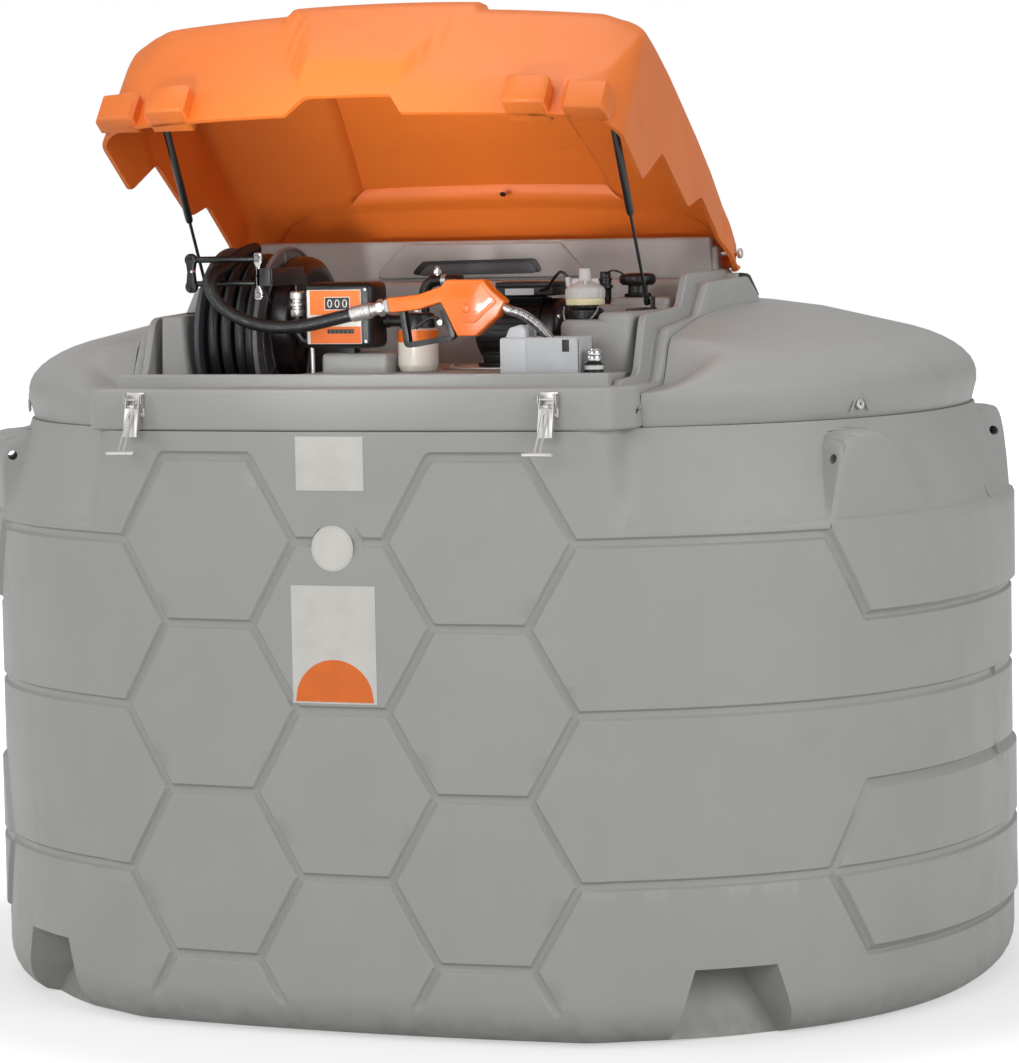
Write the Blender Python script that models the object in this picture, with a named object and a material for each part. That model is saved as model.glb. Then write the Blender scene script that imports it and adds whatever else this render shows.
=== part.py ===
"""Fuel tank with pump: double-walled plastic diesel tank, moulded cover with a pump bay under a hinged lid.

Metres, +Z up. The origin is on the ground at the middle of the tank, the front faces -Y and X runs to the right.
"""
import math

import bmesh
import bpy
from mathutils import Matrix, Vector
from mathutils.geometry import delaunay_2d_cdt

# General
SEAT = 0.0003                  # gap that two touching pieces keep
BODY = "fuel_tank_with_pump"

# Outer tank
TANK_HALF_WIDTH = 1.211
TANK_HALF_DEPTH = 1.033
PLAN_MIDDLE_Y = -0.117          # middle of the tank's plan
SIDE_HALF_DEPTH = 1.073        # half depth of the rounded plan that the front face cuts
SIDE_POWER = 2.256               # roundness of that plan
FACE_BULGE = 0.107             # front face falls back by this times x squared
FACE_HALF = 0.545              # half width of the front face, to its soft corner
CORNER_HALF = 0.650            # where the rounded side begins
SPLIT_Z = 1.342                # joint between tank and cover
SHOULDER_Z = 1.130
SHOULDER_STEP = 0.012
TOP_LEAN = 0.085               # the upper wall leans in by this
FOOT_RADIUS = 0.090
FOOT_INSET = 0.070
TANK_WALL = 0.012
CELL_SIDE = 0.215              # side of one hexagon panel
CELL_PITCH = 0.3724            # height of one hexagon panel
CELL_ROW_Z = 1.100             # height of the top row of side corners
GROOVE_WIDTH = 0.020
GROOVE_DEPTH = 0.008
PAD_RAISE = 0.008
PAD_START = 1.119              # along the wall from the middle of the front
EAR_TOP_Z = 1.325
EAR_HOLE_Z = 1.260
EAR_HOLE_R = 0.011
EAR_HOLE_INSET = 0.027
POCKET_HEIGHT = 0.165
POCKET_BACK = 1.045            # distance of the ceiling's inner edge from the middle
POCKET_FOOT = 1.115            # distance at which the sloping back wall meets the ground
POCKET_WALL = 1.169            # distance of the tank's wall there
POCKET_WIDTH = 0.330
POCKET_TOP_WIDTH = 0.185
POCKET_TAPER = 0.25            # narrowing towards the back
POCKET_ANGLE = 45.0

# Inner tank
INNER_GAP = 0.075              # between the outer tank's cavity and the inner tank
INNER_WALL = 0.010
INNER_TOP_Z = 1.270
DECK_THICK = 0.025
DECK_Z = 1.458                 # floor of the pump bay
BLOCK_Z = 1.588                # raised shoulders of the inner tank
FILLER_SEAT_Z = 1.572
CAP_SEAT_Z = 1.612

# Cover
COVER_WALL = 0.010
LEDGE_Z = 1.435                # front ledge that the closed lid meets
STEP_Z = 1.565                 # middle step of the side frames
PLATEAU_Z = 1.662              # rear step, under the hinge
FRAME_HALF = 0.642
BAY_HALF = 0.585
BAY_FRONT_INSET = 0.115        # bay's front edge behind the front face
BAY_REAR = -0.245
RIM_HALF = 0.600
RIM_FRONT_INSET = 0.092
RIM_RISE = 0.028
DECK_LEFT = -0.190
DECK_HALF = 0.570
BULKHEAD_Z = 1.745
BULKHEAD_HALF = 0.575

# Lid
LID_OPEN_DEG = 37.3
HINGE_Y = -0.210
HINGE_Z = 1.705
LID_HALF = 0.622
LID_WALL = 0.010
LID_FRONT_Y = -1.100
LID_REAR_Y = -0.150
LID_CLEAR = 0.007              # skirt above the cover's steps when shut
LUG_RADIUS = 0.036

# Gas struts
STRUT_X = 0.540
STRUT_FOOT = (-0.612, 1.606)   # y, z of the lower pivot
STRUT_HEAD = (-0.861, 2.075)   # y, z of the upper pivot with the lid open
STRUT_CYLINDER = 0.310
STRUT_CYLINDER_R = 0.009
STRUT_ROD_R = 0.004

# Hose reel
REEL_Y = -0.620
REEL_Z = 1.530
REEL_RADIUS = 0.210
REEL_LEFT = -0.484
REEL_RIGHT = -0.326
FLANGE_THICK = 0.012
WINDING_RADIUS = 0.197
DRUM_RADIUS = 0.110
AXLE_R = 0.012

HOSE_R = 0.015


def new_collection(name):
    """A collection linked to the scene."""
    collection = bpy.data.collections.new(name)
    bpy.context.scene.collection.children.link(collection)
    return collection


for old in list(bpy.data.objects):
    bpy.data.objects.remove(old, do_unlink=True)
PARTS = new_collection(BODY)
CUTTERS = new_collection("cutters")


def material(name, colour, roughness, metallic=0.0):
    """A Principled material; colour is linear RGB."""
    made = bpy.data.materials.new(name)
    made.use_nodes = True
    shader = made.node_tree.nodes["Principled BSDF"]
    shader.inputs["Base Color"].default_value = (*colour, 1.0)
    shader.inputs["Roughness"].default_value = roughness
    shader.inputs["Metallic"].default_value = metallic
    return made


GREY = material("grey_polyethylene", (0.37, 0.37, 0.36), 0.55)
PALE_GREY = material("pale_grey_plastic", (0.55, 0.55, 0.55), 0.45)
ORANGE = material("orange_polyethylene", (0.75, 0.20, 0.04), 0.45)
ORANGE_TRIM = material("orange_paint", (0.87, 0.20, 0.02), 0.30)
BLACK = material("black_plastic", (0.02, 0.02, 0.02), 0.40)
BLACK_STEEL = material("black_painted_steel", (0.02, 0.02, 0.02), 0.35, 0.3)
RUBBER = material("hose_rubber", (0.015, 0.015, 0.015), 0.60)
STEEL = material("zinc_plated_steel", (0.60, 0.59, 0.57), 0.30, 1.0)
CHROME = material("chromed_steel", (0.75, 0.75, 0.75), 0.12, 1.0)
WHITE = material("white_plastic", (0.75, 0.75, 0.73), 0.45)
DARK_GREY = material("dark_grey_plastic", (0.12, 0.13, 0.14), 0.45)


def place(mesh, name, finish, origin=(0, 0, 0), parent=None, cutter=False):
    """Put a mesh given in world coordinates into the scene with its origin at a chosen point."""
    mesh.transform(Matrix.Translation(-Vector(origin)))
    made = bpy.data.objects.new(name, mesh)
    made.location = origin
    if cutter:
        CUTTERS.objects.link(made)
        made.hide_render = True
        made.display_type = "WIRE"
    else:
        PARTS.objects.link(made)
        made.data.materials.append(finish)
    if parent is not None:
        made.location = Vector(origin) - parent.location
        made.parent = parent
    return made


def mesh_of(bm, name="shape"):
    """Turn a bmesh into a mesh with outward normals."""
    bmesh.ops.recalc_face_normals(bm, faces=bm.faces)
    mesh = bpy.data.meshes.new(name)
    bm.to_mesh(mesh)
    bm.free()
    return mesh


def box(low, high, bevel=0.0, segments=1):
    """A box between two corners, its edges bevelled on request."""
    low, high = Vector(low), Vector(high)
    bm = bmesh.new()
    bmesh.ops.create_cube(bm, size=1.0)
    bmesh.ops.scale(bm, vec=high - low, verts=bm.verts)
    bmesh.ops.translate(bm, vec=(low + high) / 2, verts=bm.verts)
    if bevel:
        bmesh.ops.bevel(bm, geom=bm.edges[:], offset=bevel, segments=segments, affect="EDGES", clamp_overlap=True)
    return mesh_of(bm)


AXES = {"X": Matrix(((0, 0, 1, 0), (1, 0, 0, 0), (0, 1, 0, 0), (0, 0, 0, 1))),
        "Y": Matrix(((1, 0, 0, 0), (0, 0, -1, 0), (0, 1, 0, 0), (0, 0, 0, 1))),
        "Z": Matrix.Identity(4)}


def cylinder(radius, low, high, centre, axis="Z", sides=24, top_radius=None):
    """A cylinder or cone along an axis between two heights, around a centre in the other two coordinates."""
    bm = bmesh.new()
    bmesh.ops.create_cone(bm, cap_ends=True, segments=sides, radius1=radius,
                          radius2=radius if top_radius is None else top_radius, depth=1.0)
    if axis == "Y":
        bmesh.ops.scale(bm, vec=(1, 1, -1), verts=bm.verts)
    bmesh.ops.scale(bm, vec=(1, 1, high - low), verts=bm.verts)
    along = (low + high) / 2
    bmesh.ops.transform(bm, matrix=AXES[axis], verts=bm.verts)
    where = {"X": (along, centre[0], centre[1]), "Y": (centre[0], along, centre[1]), "Z": (*centre, along)}[axis]
    bmesh.ops.translate(bm, vec=where, verts=bm.verts)
    return mesh_of(bm)


def curve_mesh(curve):
    """The mesh of a curve with its caps welded; the curve is removed."""
    holder = bpy.data.objects.new("curve", curve)
    CUTTERS.objects.link(holder)
    graph = bpy.context.evaluated_depsgraph_get()
    mesh = bpy.data.meshes.new_from_object(holder.evaluated_get(graph))
    bm = bmesh.new()
    bm.from_mesh(mesh)
    bmesh.ops.remove_doubles(bm, verts=bm.verts, dist=0.00001)
    bpy.data.objects.remove(holder, do_unlink=True)
    return mesh_of(bm)


def prism(outline, low, high, axis="Z"):
    """An outline of (x, y), (x, z) or (y, z) points extruded along the axis left out."""
    curve = bpy.data.curves.new("outline", "CURVE")
    curve.dimensions = "2D"
    curve.fill_mode = "BOTH"
    curve.extrude = (high - low) / 2
    spline = curve.splines.new("POLY")
    spline.points.add(len(outline) - 1)
    for point, (a, b) in zip(spline.points, outline):
        point.co = (a, b, 0, 1)
    spline.use_cyclic_u = True
    mesh = curve_mesh(curve)
    middle = (low + high) / 2
    shift = {"X": (middle, 0, 0), "Y": (0, middle, 0), "Z": (0, 0, middle)}[axis]
    mesh.transform(Matrix.Translation(shift) @ AXES[axis])
    return mesh


def tube(points, radius, resolution=2):
    """A round tube with closed ends along points."""
    curve = bpy.data.curves.new("tube", "CURVE")
    curve.dimensions = "3D"
    curve.bevel_depth = radius
    curve.bevel_resolution = resolution
    curve.resolution_u = 1
    curve.use_fill_caps = True
    spline = curve.splines.new("POLY")
    spline.points.add(len(points) - 1)
    for point, where in zip(spline.points, points):
        point.co = (*where, 1)
    return curve_mesh(curve)


def grown(outline, by):
    """A clockwise or anticlockwise outline with each side moved outward."""
    points = [Vector(p) for p in outline]
    area = sum(a.x * b.y - b.x * a.y for a, b in zip(points, points[1:] + points[:1]))
    sign = 1 if area > 0 else -1
    made = []
    for before, here, after in zip(points[-1:] + points[:-1], points, points[1:] + points[:1]):
        first, second = (here - before).normalized(), (after - here).normalized()
        normals = Vector((first.y, -first.x)) * sign, Vector((second.y, -second.x)) * sign
        middle = normals[0] + normals[1]
        made.append(here + middle * (2 * by / middle.length_squared))
    return [(p.x, p.y) for p in made]


def loft(rings):
    """A closed solid through rings of equal point count, capped at both ends."""
    bm = bmesh.new()
    loops = [[bm.verts.new(point) for point in ring] for ring in rings]
    count = len(rings[0])
    for lower, upper in zip(loops, loops[1:]):
        for i in range(count):
            j = (i + 1) % count
            bm.faces.new((lower[i], lower[j], upper[j], upper[i]))
    bm.faces.new(list(reversed(loops[0])))
    bm.faces.new(loops[-1])
    bmesh.ops.triangulate(bm, faces=[face for face in bm.faces if len(face.verts) > 4])
    return mesh_of(bm)


def turned(profile, centre, axis="Z", sides=24):
    """A turned solid: profile of (radius, height) from the top of its outer side down, closed on the axis."""
    bm = bmesh.new()
    rings = []
    for radius, height in profile:
        if radius < 1e-6:
            rings.append([bm.verts.new((0, 0, height))])
        else:
            rings.append([bm.verts.new((radius * math.cos(2 * math.pi * k / sides),
                                        radius * math.sin(2 * math.pi * k / sides), height))
                          for k in range(sides)])
    for upper, lower in zip(rings, rings[1:]):
        for k in range(sides):
            n = (k + 1) % sides
            corners = [upper[k % len(upper)], lower[k % len(lower)], lower[n % len(lower)], upper[n % len(upper)]]
            corners = list(dict.fromkeys(corners))
            if len(corners) > 2:
                bm.faces.new(corners)
    mesh = mesh_of(bm)
    mesh.transform(AXES[axis])
    where = {"X": (0, centre[0], centre[1]), "Y": (centre[0], 0, centre[1]), "Z": (*centre, 0)}[axis]
    mesh.transform(Matrix.Translation(where))
    return mesh


def boolean(target, other, operation):
    """Join to or cut from a target with another object's mesh, given as a mesh or an object."""
    if isinstance(other, bpy.types.Mesh):
        other = place(other, target.name + "_" + operation.lower(), None, cutter=True)
    change = target.modifiers.new(operation.title(), "BOOLEAN")
    change.operation = operation
    change.solver = "EXACT"
    change.object = other
    return target


def join(target, *others):
    """Union each of the others into the target."""
    for other in others:
        boolean(target, other, "UNION")
    return target


def cut(target, *others):
    """Take each of the others out of the target."""
    for other in others:
        boolean(target, other, "DIFFERENCE")
    return target


# Plan of the tank

def face_depth(x):
    """Front face in plan, from the plan's middle."""
    return -TANK_HALF_DEPTH + FACE_BULGE * x * x


def side_depth(x):
    """Rounded side in plan, from the plan's middle."""
    share = max(0.0, 1 - (x / TANK_HALF_WIDTH) ** SIDE_POWER)
    return -SIDE_HALF_DEPTH * share ** (1 / SIDE_POWER)


def face_y(x):
    """Front face in plan."""
    return PLAN_MIDDLE_Y + face_depth(x)


def side_y(x):
    """Rounded side in plan."""
    return PLAN_MIDDLE_Y + side_depth(x)


def quarter_plan():
    """Plan of the right front quarter, from the middle of the front to the middle of the side."""
    points = [Vector((x, face_depth(x))) for x in [FACE_HALF * 0.94 * k / 3 for k in range(4)]]
    start, corner = points[-1], Vector((FACE_HALF + 0.006, face_depth(FACE_HALF)))
    flank = Vector((CORNER_HALF, side_depth(CORNER_HALF)))
    turn_end = corner.lerp(flank, 0.35)
    for k in (1, 2):
        t = k / 2
        points.append(start * (1 - t) ** 2 + corner * 2 * t * (1 - t) + turn_end * t * t)
    points.append(flank)
    start_angle = math.acos((CORNER_HALF / TANK_HALF_WIDTH) ** (SIDE_POWER / 2))
    steps = 7
    for k in range(1, steps + 1):
        angle = start_angle * (1 - k / steps)
        x = TANK_HALF_WIDTH * math.cos(angle) ** (2 / SIDE_POWER)
        y = -SIDE_HALF_DEPTH * math.sin(max(angle, 0.0)) ** (2 / SIDE_POWER) if k < steps else 0.0
        points.append(Vector((x, y)))
    return points


PLAN = quarter_plan()
RUN = [0.0]
for a, b in zip(PLAN, PLAN[1:]):
    RUN.append(RUN[-1] + (b - a).length)
SIDE_RUN = RUN[-1]


def plan_normals():
    """Outward normal at each plan point."""
    normals = []
    for k in range(len(PLAN)):
        if k == 0:
            normals.append(Vector((0, -1)))
        elif k == len(PLAN) - 1:
            normals.append(Vector((1, 0)))
        else:
            along = (PLAN[k + 1] - PLAN[k - 1]).normalized()
            normals.append(Vector((along.y, -along.x)))
    return normals


NORMALS = plan_normals()


def wall_point(run, inset):
    """Plan position at a distance along the wall, moved in by the inset."""
    run = min(max(run, 0.0), SIDE_RUN)
    k = min(max(i for i, value in enumerate(RUN) if value <= run + 1e-9), len(PLAN) - 2)
    t = (run - RUN[k]) / (RUN[k + 1] - RUN[k])
    return PLAN[k].lerp(PLAN[k + 1], t) - NORMALS[k].lerp(NORMALS[k + 1], t).normalized() * inset


def full_plan(scale=1.0):
    """The whole plan as a loop in place, anticlockwise from the middle of the front."""
    quarter = [p * scale for p in PLAN]
    front_right = quarter[:-1]
    rear_right = [Vector((p.x, -p.y)) for p in reversed(quarter)][:-1]
    rear_left = [Vector((-p.x, -p.y)) for p in quarter][:-1]
    front_left = [Vector((-p.x, p.y)) for p in reversed(quarter)][:-1]
    return [Vector((p.x, p.y + PLAN_MIDDLE_Y)) for p in front_right + rear_right + rear_left + front_left]


def strip_plan(left, right, inset, rear):
    """Plan of a straight-sided strip whose front edge runs parallel to the front face."""
    steps = 8
    across = [left + (right - left) * k / steps for k in range(steps + 1)]
    return [(x, face_y(x) + inset) for x in across] + [(right, rear), (left, rear)]


def row_z(row):
    """Height of a row of panel corners, counted down from the top side corners."""
    return CELL_ROW_Z - row * CELL_PITCH / 2


def groove_lines():
    """Grooves on one quarter, as pairs of (run, height) points."""
    half, side = CELL_SIDE / 2, CELL_SIDE
    left, right = half, half + 2 * side
    lines = []
    for middle in (0, 2, 4):
        ring = [(left, middle), (side, middle - 1), (2 * side, middle - 1), (right, middle),
                (2 * side, middle + 1), (side, middle + 1)]
        for a, b in zip(ring, ring[1:] + ring[:1]):
            lines.append((a, b))
    lines += [((0, 2), (left, 2)), ((0, 4), (left, 4)), ((0.06, 0), (left, 0))]
    fade = 5.5
    lines += [((side, 5), (side - half * 0.5, fade)), ((2 * side, 5), (2 * side + half * 0.5, fade))]
    lines += [((right, 0), (PAD_START, 0)), ((right, 2), (SIDE_RUN, 2)), ((right, 4), (PAD_START, 4)),
              ((PAD_START, 4), (SIDE_RUN, 4))]
    inner = PAD_START + half
    lines += [((PAD_START, 0), (inner, 1)), ((inner, 1), (SIDE_RUN, 1))]
    lines += [((PAD_START, 4), (inner, 3)), ((inner, 3), (SIDE_RUN, 3))]
    lines += [((PAD_START, 4), (inner, 5)), ((inner, 5), (SIDE_RUN, 5))]
    return [((a[0], row_z(a[1])), (b[0], row_z(b[1]))) for a, b in lines]


EAR_BASE = (PAD_START, PAD_START + 0.338)
EAR_TOP = (PAD_START + 0.052, PAD_START + 0.200)
BLOCK_EDGE = (0.625, 0.675)    # along the wall: where the upper wall starts to lean in beside the front block


def ear_lines():
    """Outline of the lifting ear and the shoulder behind it."""
    low_left = (EAR_BASE[0], row_z(0))
    low_right = (EAR_BASE[1], SHOULDER_Z)
    return [(low_left, (EAR_TOP[0], EAR_TOP_Z)), ((EAR_TOP[0], EAR_TOP_Z), (EAR_TOP[1], EAR_TOP_Z)),
            ((EAR_TOP[1], EAR_TOP_Z), low_right), (low_right, (SIDE_RUN, SHOULDER_Z))]


def segment_distance(point, line):
    """Distance of a point from a line segment."""
    a, b = Vector(line[0]), Vector(line[1])
    along = b - a
    t = min(max((point - a).dot(along) / along.dot(along), 0.0), 1.0)
    return (point - a - along * t).length


def smooth(low, high, value):
    """Smooth step from 0 to 1."""
    t = min(max((value - low) / (high - low), 0.0), 1.0)
    return t * t * (3 - 2 * t)


def in_ear(run, height):
    """Whether a wall position lies on the lifting ear."""
    if height <= row_z(0) or height > EAR_TOP_Z:
        return False
    t = (height - row_z(0)) / (EAR_TOP_Z - row_z(0))
    left = EAR_BASE[0] + (EAR_TOP[0] - EAR_BASE[0]) * t
    right = EAR_BASE[1] + (EAR_TOP[1] - EAR_BASE[1]) * t
    return left <= run <= right


def in_pad(run, height):
    """Whether a wall position lies on one of the raised side pads."""
    half_rows = CELL_PITCH / 2
    if row_z(1) < height < row_z(0) + 0.03:
        return run > PAD_START + (row_z(0) - height) / half_rows * CELL_SIDE / 2
    if row_z(5) < height < row_z(3):
        return run > PAD_START + abs(row_z(4) - height) / half_rows * CELL_SIDE / 2
    return False


def wall_inset(run, height, lines):
    """How far the wall's surface lies inside the plan."""
    inset = 0.0
    if height < FOOT_RADIUS:
        inset += FOOT_INSET * (1 - math.sqrt(max(0.0, 1 - ((FOOT_RADIUS - height) / FOOT_RADIUS) ** 2)))
    if height > SHOULDER_Z + 0.001 and not in_ear(run, height):
        lean = (height - SHOULDER_Z) / (SPLIT_Z - SHOULDER_Z)
        inset += (SHOULDER_STEP + (TOP_LEAN - SHOULDER_STEP) * lean) * smooth(*BLOCK_EDGE, run)
    if in_pad(run, height):
        inset -= PAD_RAISE
    near = min(segment_distance(Vector((run, height)), line) for line in lines)
    return inset + GROOVE_DEPTH * max(0.0, 1 - near / (GROOVE_WIDTH / 2))


def wall_quarter():
    """Right front quarter of the tank's wall as an open surface, with its panel grooves."""
    lines = groove_lines()
    frame = [((0, 0), (SIDE_RUN, 0)), ((SIDE_RUN, 0), (SIDE_RUN, SPLIT_Z)), ((SIDE_RUN, SPLIT_Z), (0, SPLIT_Z)),
             ((0, SPLIT_Z), (0, 0))]
    points, edges = [], []
    for a, b in frame + lines + ear_lines():
        edges.append((len(points), len(points) + 1))
        points += [Vector(a), Vector(b)]
    verts, made_edges, faces, _, edge_source, _ = delaunay_2d_cdt(points, edges, [], 4, 1e-5)
    bm = bmesh.new()
    made = [bm.verts.new((v.x, v.y, 0)) for v in verts]
    for face in faces:
        bm.faces.new([made[i] for i in face])
    bm.edges.ensure_lookup_table()
    grooves = []
    for edge in bm.edges:
        middle = (edge.verts[0].co.xy + edge.verts[1].co.xy) / 2
        inside = 1e-4 < middle.x < SIDE_RUN - 1e-4 and 1e-4 < middle.y < SPLIT_Z - 1e-4
        if inside and min(segment_distance(middle, line) for line in lines + ear_lines()) < 1e-4:
            grooves.append(edge)
    bmesh.ops.bevel(bm, geom=grooves, offset=GROOVE_WIDTH / 2, segments=2, profile=0.5, affect="EDGES")
    for run in RUN[1:-1] + list(BLOCK_EDGE):
        bmesh.ops.bisect_plane(bm, geom=bm.verts[:] + bm.edges[:] + bm.faces[:], dist=1e-5,
                               plane_co=(run, 0, 0), plane_no=(1, 0, 0))
    for height in (0.010, 0.040, FOOT_RADIUS, SHOULDER_Z):
        bmesh.ops.bisect_plane(bm, geom=bm.verts[:] + bm.edges[:] + bm.faces[:], dist=1e-5,
                               plane_co=(0, height, 0), plane_no=(0, 1, 0))
    bmesh.ops.triangulate(bm, faces=bm.faces)
    for vert in bm.verts:
        run, height = vert.co.x, vert.co.y
        spot = wall_point(run, wall_inset(run, height, lines))
        vert.co = (0.0 if run < 1e-5 else spot.x, 0.0 if run > SIDE_RUN - 1e-5 else spot.y, height)
    return bm


def tank_body():
    """Solid outer form of the tank: four mirrored quarters, closed above and below."""
    bm = wall_quarter()
    for normal in ((1, 0, 0), (0, 1, 0)):
        copy = bmesh.ops.duplicate(bm, geom=bm.verts[:] + bm.edges[:] + bm.faces[:])
        verts = [item for item in copy["geom"] if isinstance(item, bmesh.types.BMVert)]
        faces = [item for item in copy["geom"] if isinstance(item, bmesh.types.BMFace)]
        for vert in verts:
            vert.co = (-vert.co.x, vert.co.y, vert.co.z) if normal[0] else (vert.co.x, -vert.co.y, vert.co.z)
        bmesh.ops.reverse_faces(bm, faces=faces)
        bmesh.ops.remove_doubles(bm, verts=bm.verts, dist=0.00002)
    rims = [edge for edge in bm.edges if len(edge.link_faces) == 1]
    bmesh.ops.holes_fill(bm, edges=rims, sides=0)
    bmesh.ops.triangulate(bm, faces=[face for face in bm.faces if len(face.verts) > 4])
    mesh = mesh_of(bm)
    mesh.transform(Matrix.Translation((0, PLAN_MIDDLE_Y, 0)))
    return mesh


def plan_rings(levels):
    """Rings of the plan at (height, inset) levels."""
    return [[(p.x, p.y, z) for p in full_plan(1 - inset / TANK_HALF_WIDTH)] for z, inset in levels]


def pocket(extra):
    """Lifting recess under the wall: flat ceiling and a back wall that slopes out to the ground."""
    top, low = POCKET_HEIGHT + extra, -0.050
    slope = (POCKET_FOOT - POCKET_BACK) / POCKET_HEIGHT
    rings = []
    for out_by in (POCKET_WALL + 0.130, None):
        ring = []
        for height, width in ((low, POCKET_WIDTH), (top, POCKET_TOP_WIDTH)):
            back = POCKET_BACK + (POCKET_HEIGHT - min(height, POCKET_HEIGHT)) * slope - extra
            reach = back if out_by is None else out_by
            half = width / 2 + (reach - POCKET_WALL) * POCKET_TAPER + extra
            ring += [(reach, -half, height), (reach, half, height)] if height == low else [
                (reach, half, height), (reach, -half, height)]
        rings.append(ring)
    return loft(rings)


def pockets(extra):
    """The four recesses as one cutter mesh each, turned to the corners."""
    made = []
    for angle in (POCKET_ANGLE, 180 - POCKET_ANGLE, 180 + POCKET_ANGLE, 360 - POCKET_ANGLE):
        mesh = pocket(extra)
        mesh.transform(Matrix.Translation((0, PLAN_MIDDLE_Y, 0)) @ Matrix.Rotation(math.radians(angle), 4, "Z"))
        made.append(mesh)
    return made


def ear_holes():
    """Cutters for the lifting holes that run along the wall through the four ears."""
    share = (EAR_HOLE_Z - row_z(0)) / (EAR_TOP_Z - row_z(0))
    start, end = (wall_point(EAR_BASE[k] + (EAR_TOP[k] - EAR_BASE[k]) * share, EAR_HOLE_INSET) for k in (0, 1))
    made = []
    for x in (-1, 1):
        for y in (-1, 1):
            a, b = (Vector((x * p.x, PLAN_MIDDLE_Y - y * p.y, EAR_HOLE_Z)) for p in (start, end))
            over = (b - a).normalized() * 0.060
            made.append(tube([a - over, b + over], EAR_HOLE_R))
    return made


def build_outer_tank():
    """Outer tank: the panelled form less its cavity, with walls kept round the fork pockets."""
    tank = place(tank_body(), "outer_tank", GREY)
    depth = TANK_WALL + GROOVE_DEPTH
    cavity = place(loft(plan_rings([(TANK_WALL, FOOT_INSET + depth), (0.045, 0.030 + depth),
                                    (FOOT_RADIUS + 0.01, depth), (SHOULDER_Z - 0.03, depth),
                                    (SPLIT_Z - 0.06, TOP_LEAN + TANK_WALL), (SPLIT_Z + 0.05, TOP_LEAN + TANK_WALL)])),
                   "tank_cavity", None, cutter=True)
    join(cavity, prism(front_block_plan(TANK_WALL + 0.003), SHOULDER_Z + 0.010, SPLIT_Z + 0.040))
    cut(cavity, *pockets(TANK_WALL))
    cut(tank, *pockets(0.0))
    cut(tank, cavity, *ear_holes())
    return tank


def build_inner_tank():
    """Inner tank: an open-topped shell that stands on the outer tank's floor."""
    gap = TANK_WALL + GROOVE_DEPTH + INNER_GAP
    base = TANK_WALL + SEAT
    foot = TANK_HALF_WIDTH * (1 - (POCKET_BACK - TANK_WALL - 0.030) / POCKET_WALL)
    rise = POCKET_HEIGHT + 0.040
    outer = [(base, foot), (rise, foot), (rise + 0.120, gap), (SHOULDER_Z - 0.10, gap), (INNER_TOP_Z, gap + 0.035)]
    wall = INNER_WALL
    inner = [(base + wall, foot + wall), (rise + wall / 2, foot + wall), (rise + 0.120 + wall / 2, gap + wall),
             (SHOULDER_Z - 0.10, gap + wall), (INNER_TOP_Z + 0.02, gap + 0.035 + wall)]
    tank = place(loft(plan_rings(outer)), "inner_tank", GREY)
    return cut(tank, loft(plan_rings(inner)))


def deck_form(inset, floor_drop):
    """Raised relief of the inner tank's top; the inset makes the hollow under it."""
    low = INNER_TOP_Z + DECK_THICK - 0.012 - floor_drop
    i = inset
    deck = strip_plan(DECK_LEFT + i, DECK_HALF - i, BAY_FRONT_INSET + 0.012 + i, -0.262 - i)
    shapes = [prism(deck, low, DECK_Z - i),
              box((-0.572 + i, -0.345 + i, low), (0.572 - i, -0.2625 - i, 1.650 - i)),
              prism([(0.404 + i, low), (0.510, low), (0.510, BLOCK_Z - i), (0.497 + i, BLOCK_Z - i),
                     (0.490 + i, FILLER_SEAT_Z - i), (0.424 + i, FILLER_SEAT_Z - i), (0.412 + i, FILLER_SEAT_Z - 0.014 - i)],
                    -0.835 + i, -0.690 - i, "Y"),
              box((0.505 + i, -0.835 + i, low), (0.574 - i, -0.310 - i, BLOCK_Z - i)),
              box((0.378 + i, -0.560 + i, low), (0.5715 - i, -0.300 - i, 1.598 - i)),
              box((0.425 + i, -0.550 + i, low), (0.5710 - i, -0.310 - i, CAP_SEAT_Z - i)),
              box((-0.574 + i, -0.835 + i, low), (-0.505 - i, -0.310 - i, BLOCK_Z - i))]
    return shapes


def build_inner_top():
    """Inner tank's top: plate over the tank with the relief that carries the equipment."""
    gap = TANK_WALL + GROOVE_DEPTH + INNER_GAP + 0.036
    bottom = INNER_TOP_Z + SEAT
    plate = loft(plan_rings([(bottom, gap), (bottom + DECK_THICK - 0.010, gap), (bottom + DECK_THICK, gap + 0.010)]))
    top = place(plate, "inner_tank_top", GREY)
    join(top, *deck_form(0.0, 0.0))
    cut(top, *deck_form(0.010, 0.04))
    return top


def stairs(rise, forward=0.0):
    """Steps of the cover's side frames, (y, z) points from front to rear."""
    f = forward
    return [(-0.830 - f, LEDGE_Z + rise), (-0.755 - f, STEP_Z + rise), (-0.540 - f, STEP_Z + 0.010 + rise),
            (-0.470 - f, PLATEAU_Z + rise)]


def cover_dome(inset):
    """Domed top with its rounded edge, as a closed solid."""
    levels = [(SPLIT_Z, 0.092), (1.390, 0.078), (1.430, 0.086), (1.466, 0.112), (1.495, 0.156), (1.526, 0.245),
              (1.572, 0.434), (1.602, 0.690), (1.612, 0.950)]
    rings = []
    for k, (z, in_by) in enumerate(levels):
        scale = (TANK_HALF_WIDTH - in_by - inset * (1.0 if k < 5 else 0.3)) / TANK_HALF_WIDTH
        height = z - (inset if k >= 3 else inset * k / 3)
        if inset and k == 0:
            height = SPLIT_Z - 0.03
        rings.append([(p.x, p.y, height) for p in full_plan(scale)])
    return loft(rings)


def front_block_plan(inset):
    """Plan of the cover's front block."""
    block_half = 0.618 - inset
    points = [(x, face_y(x) + inset) for x in [FACE_HALF * 0.94 * k / 4 for k in range(-4, 5)]]
    y_corner = side_y(CORNER_HALF) - (CORNER_HALF - block_half) * 0.62 + inset
    points += [(block_half, y_corner), (block_half, -0.780), (-block_half, -0.780), (-block_half, y_corner)]
    return points


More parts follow.
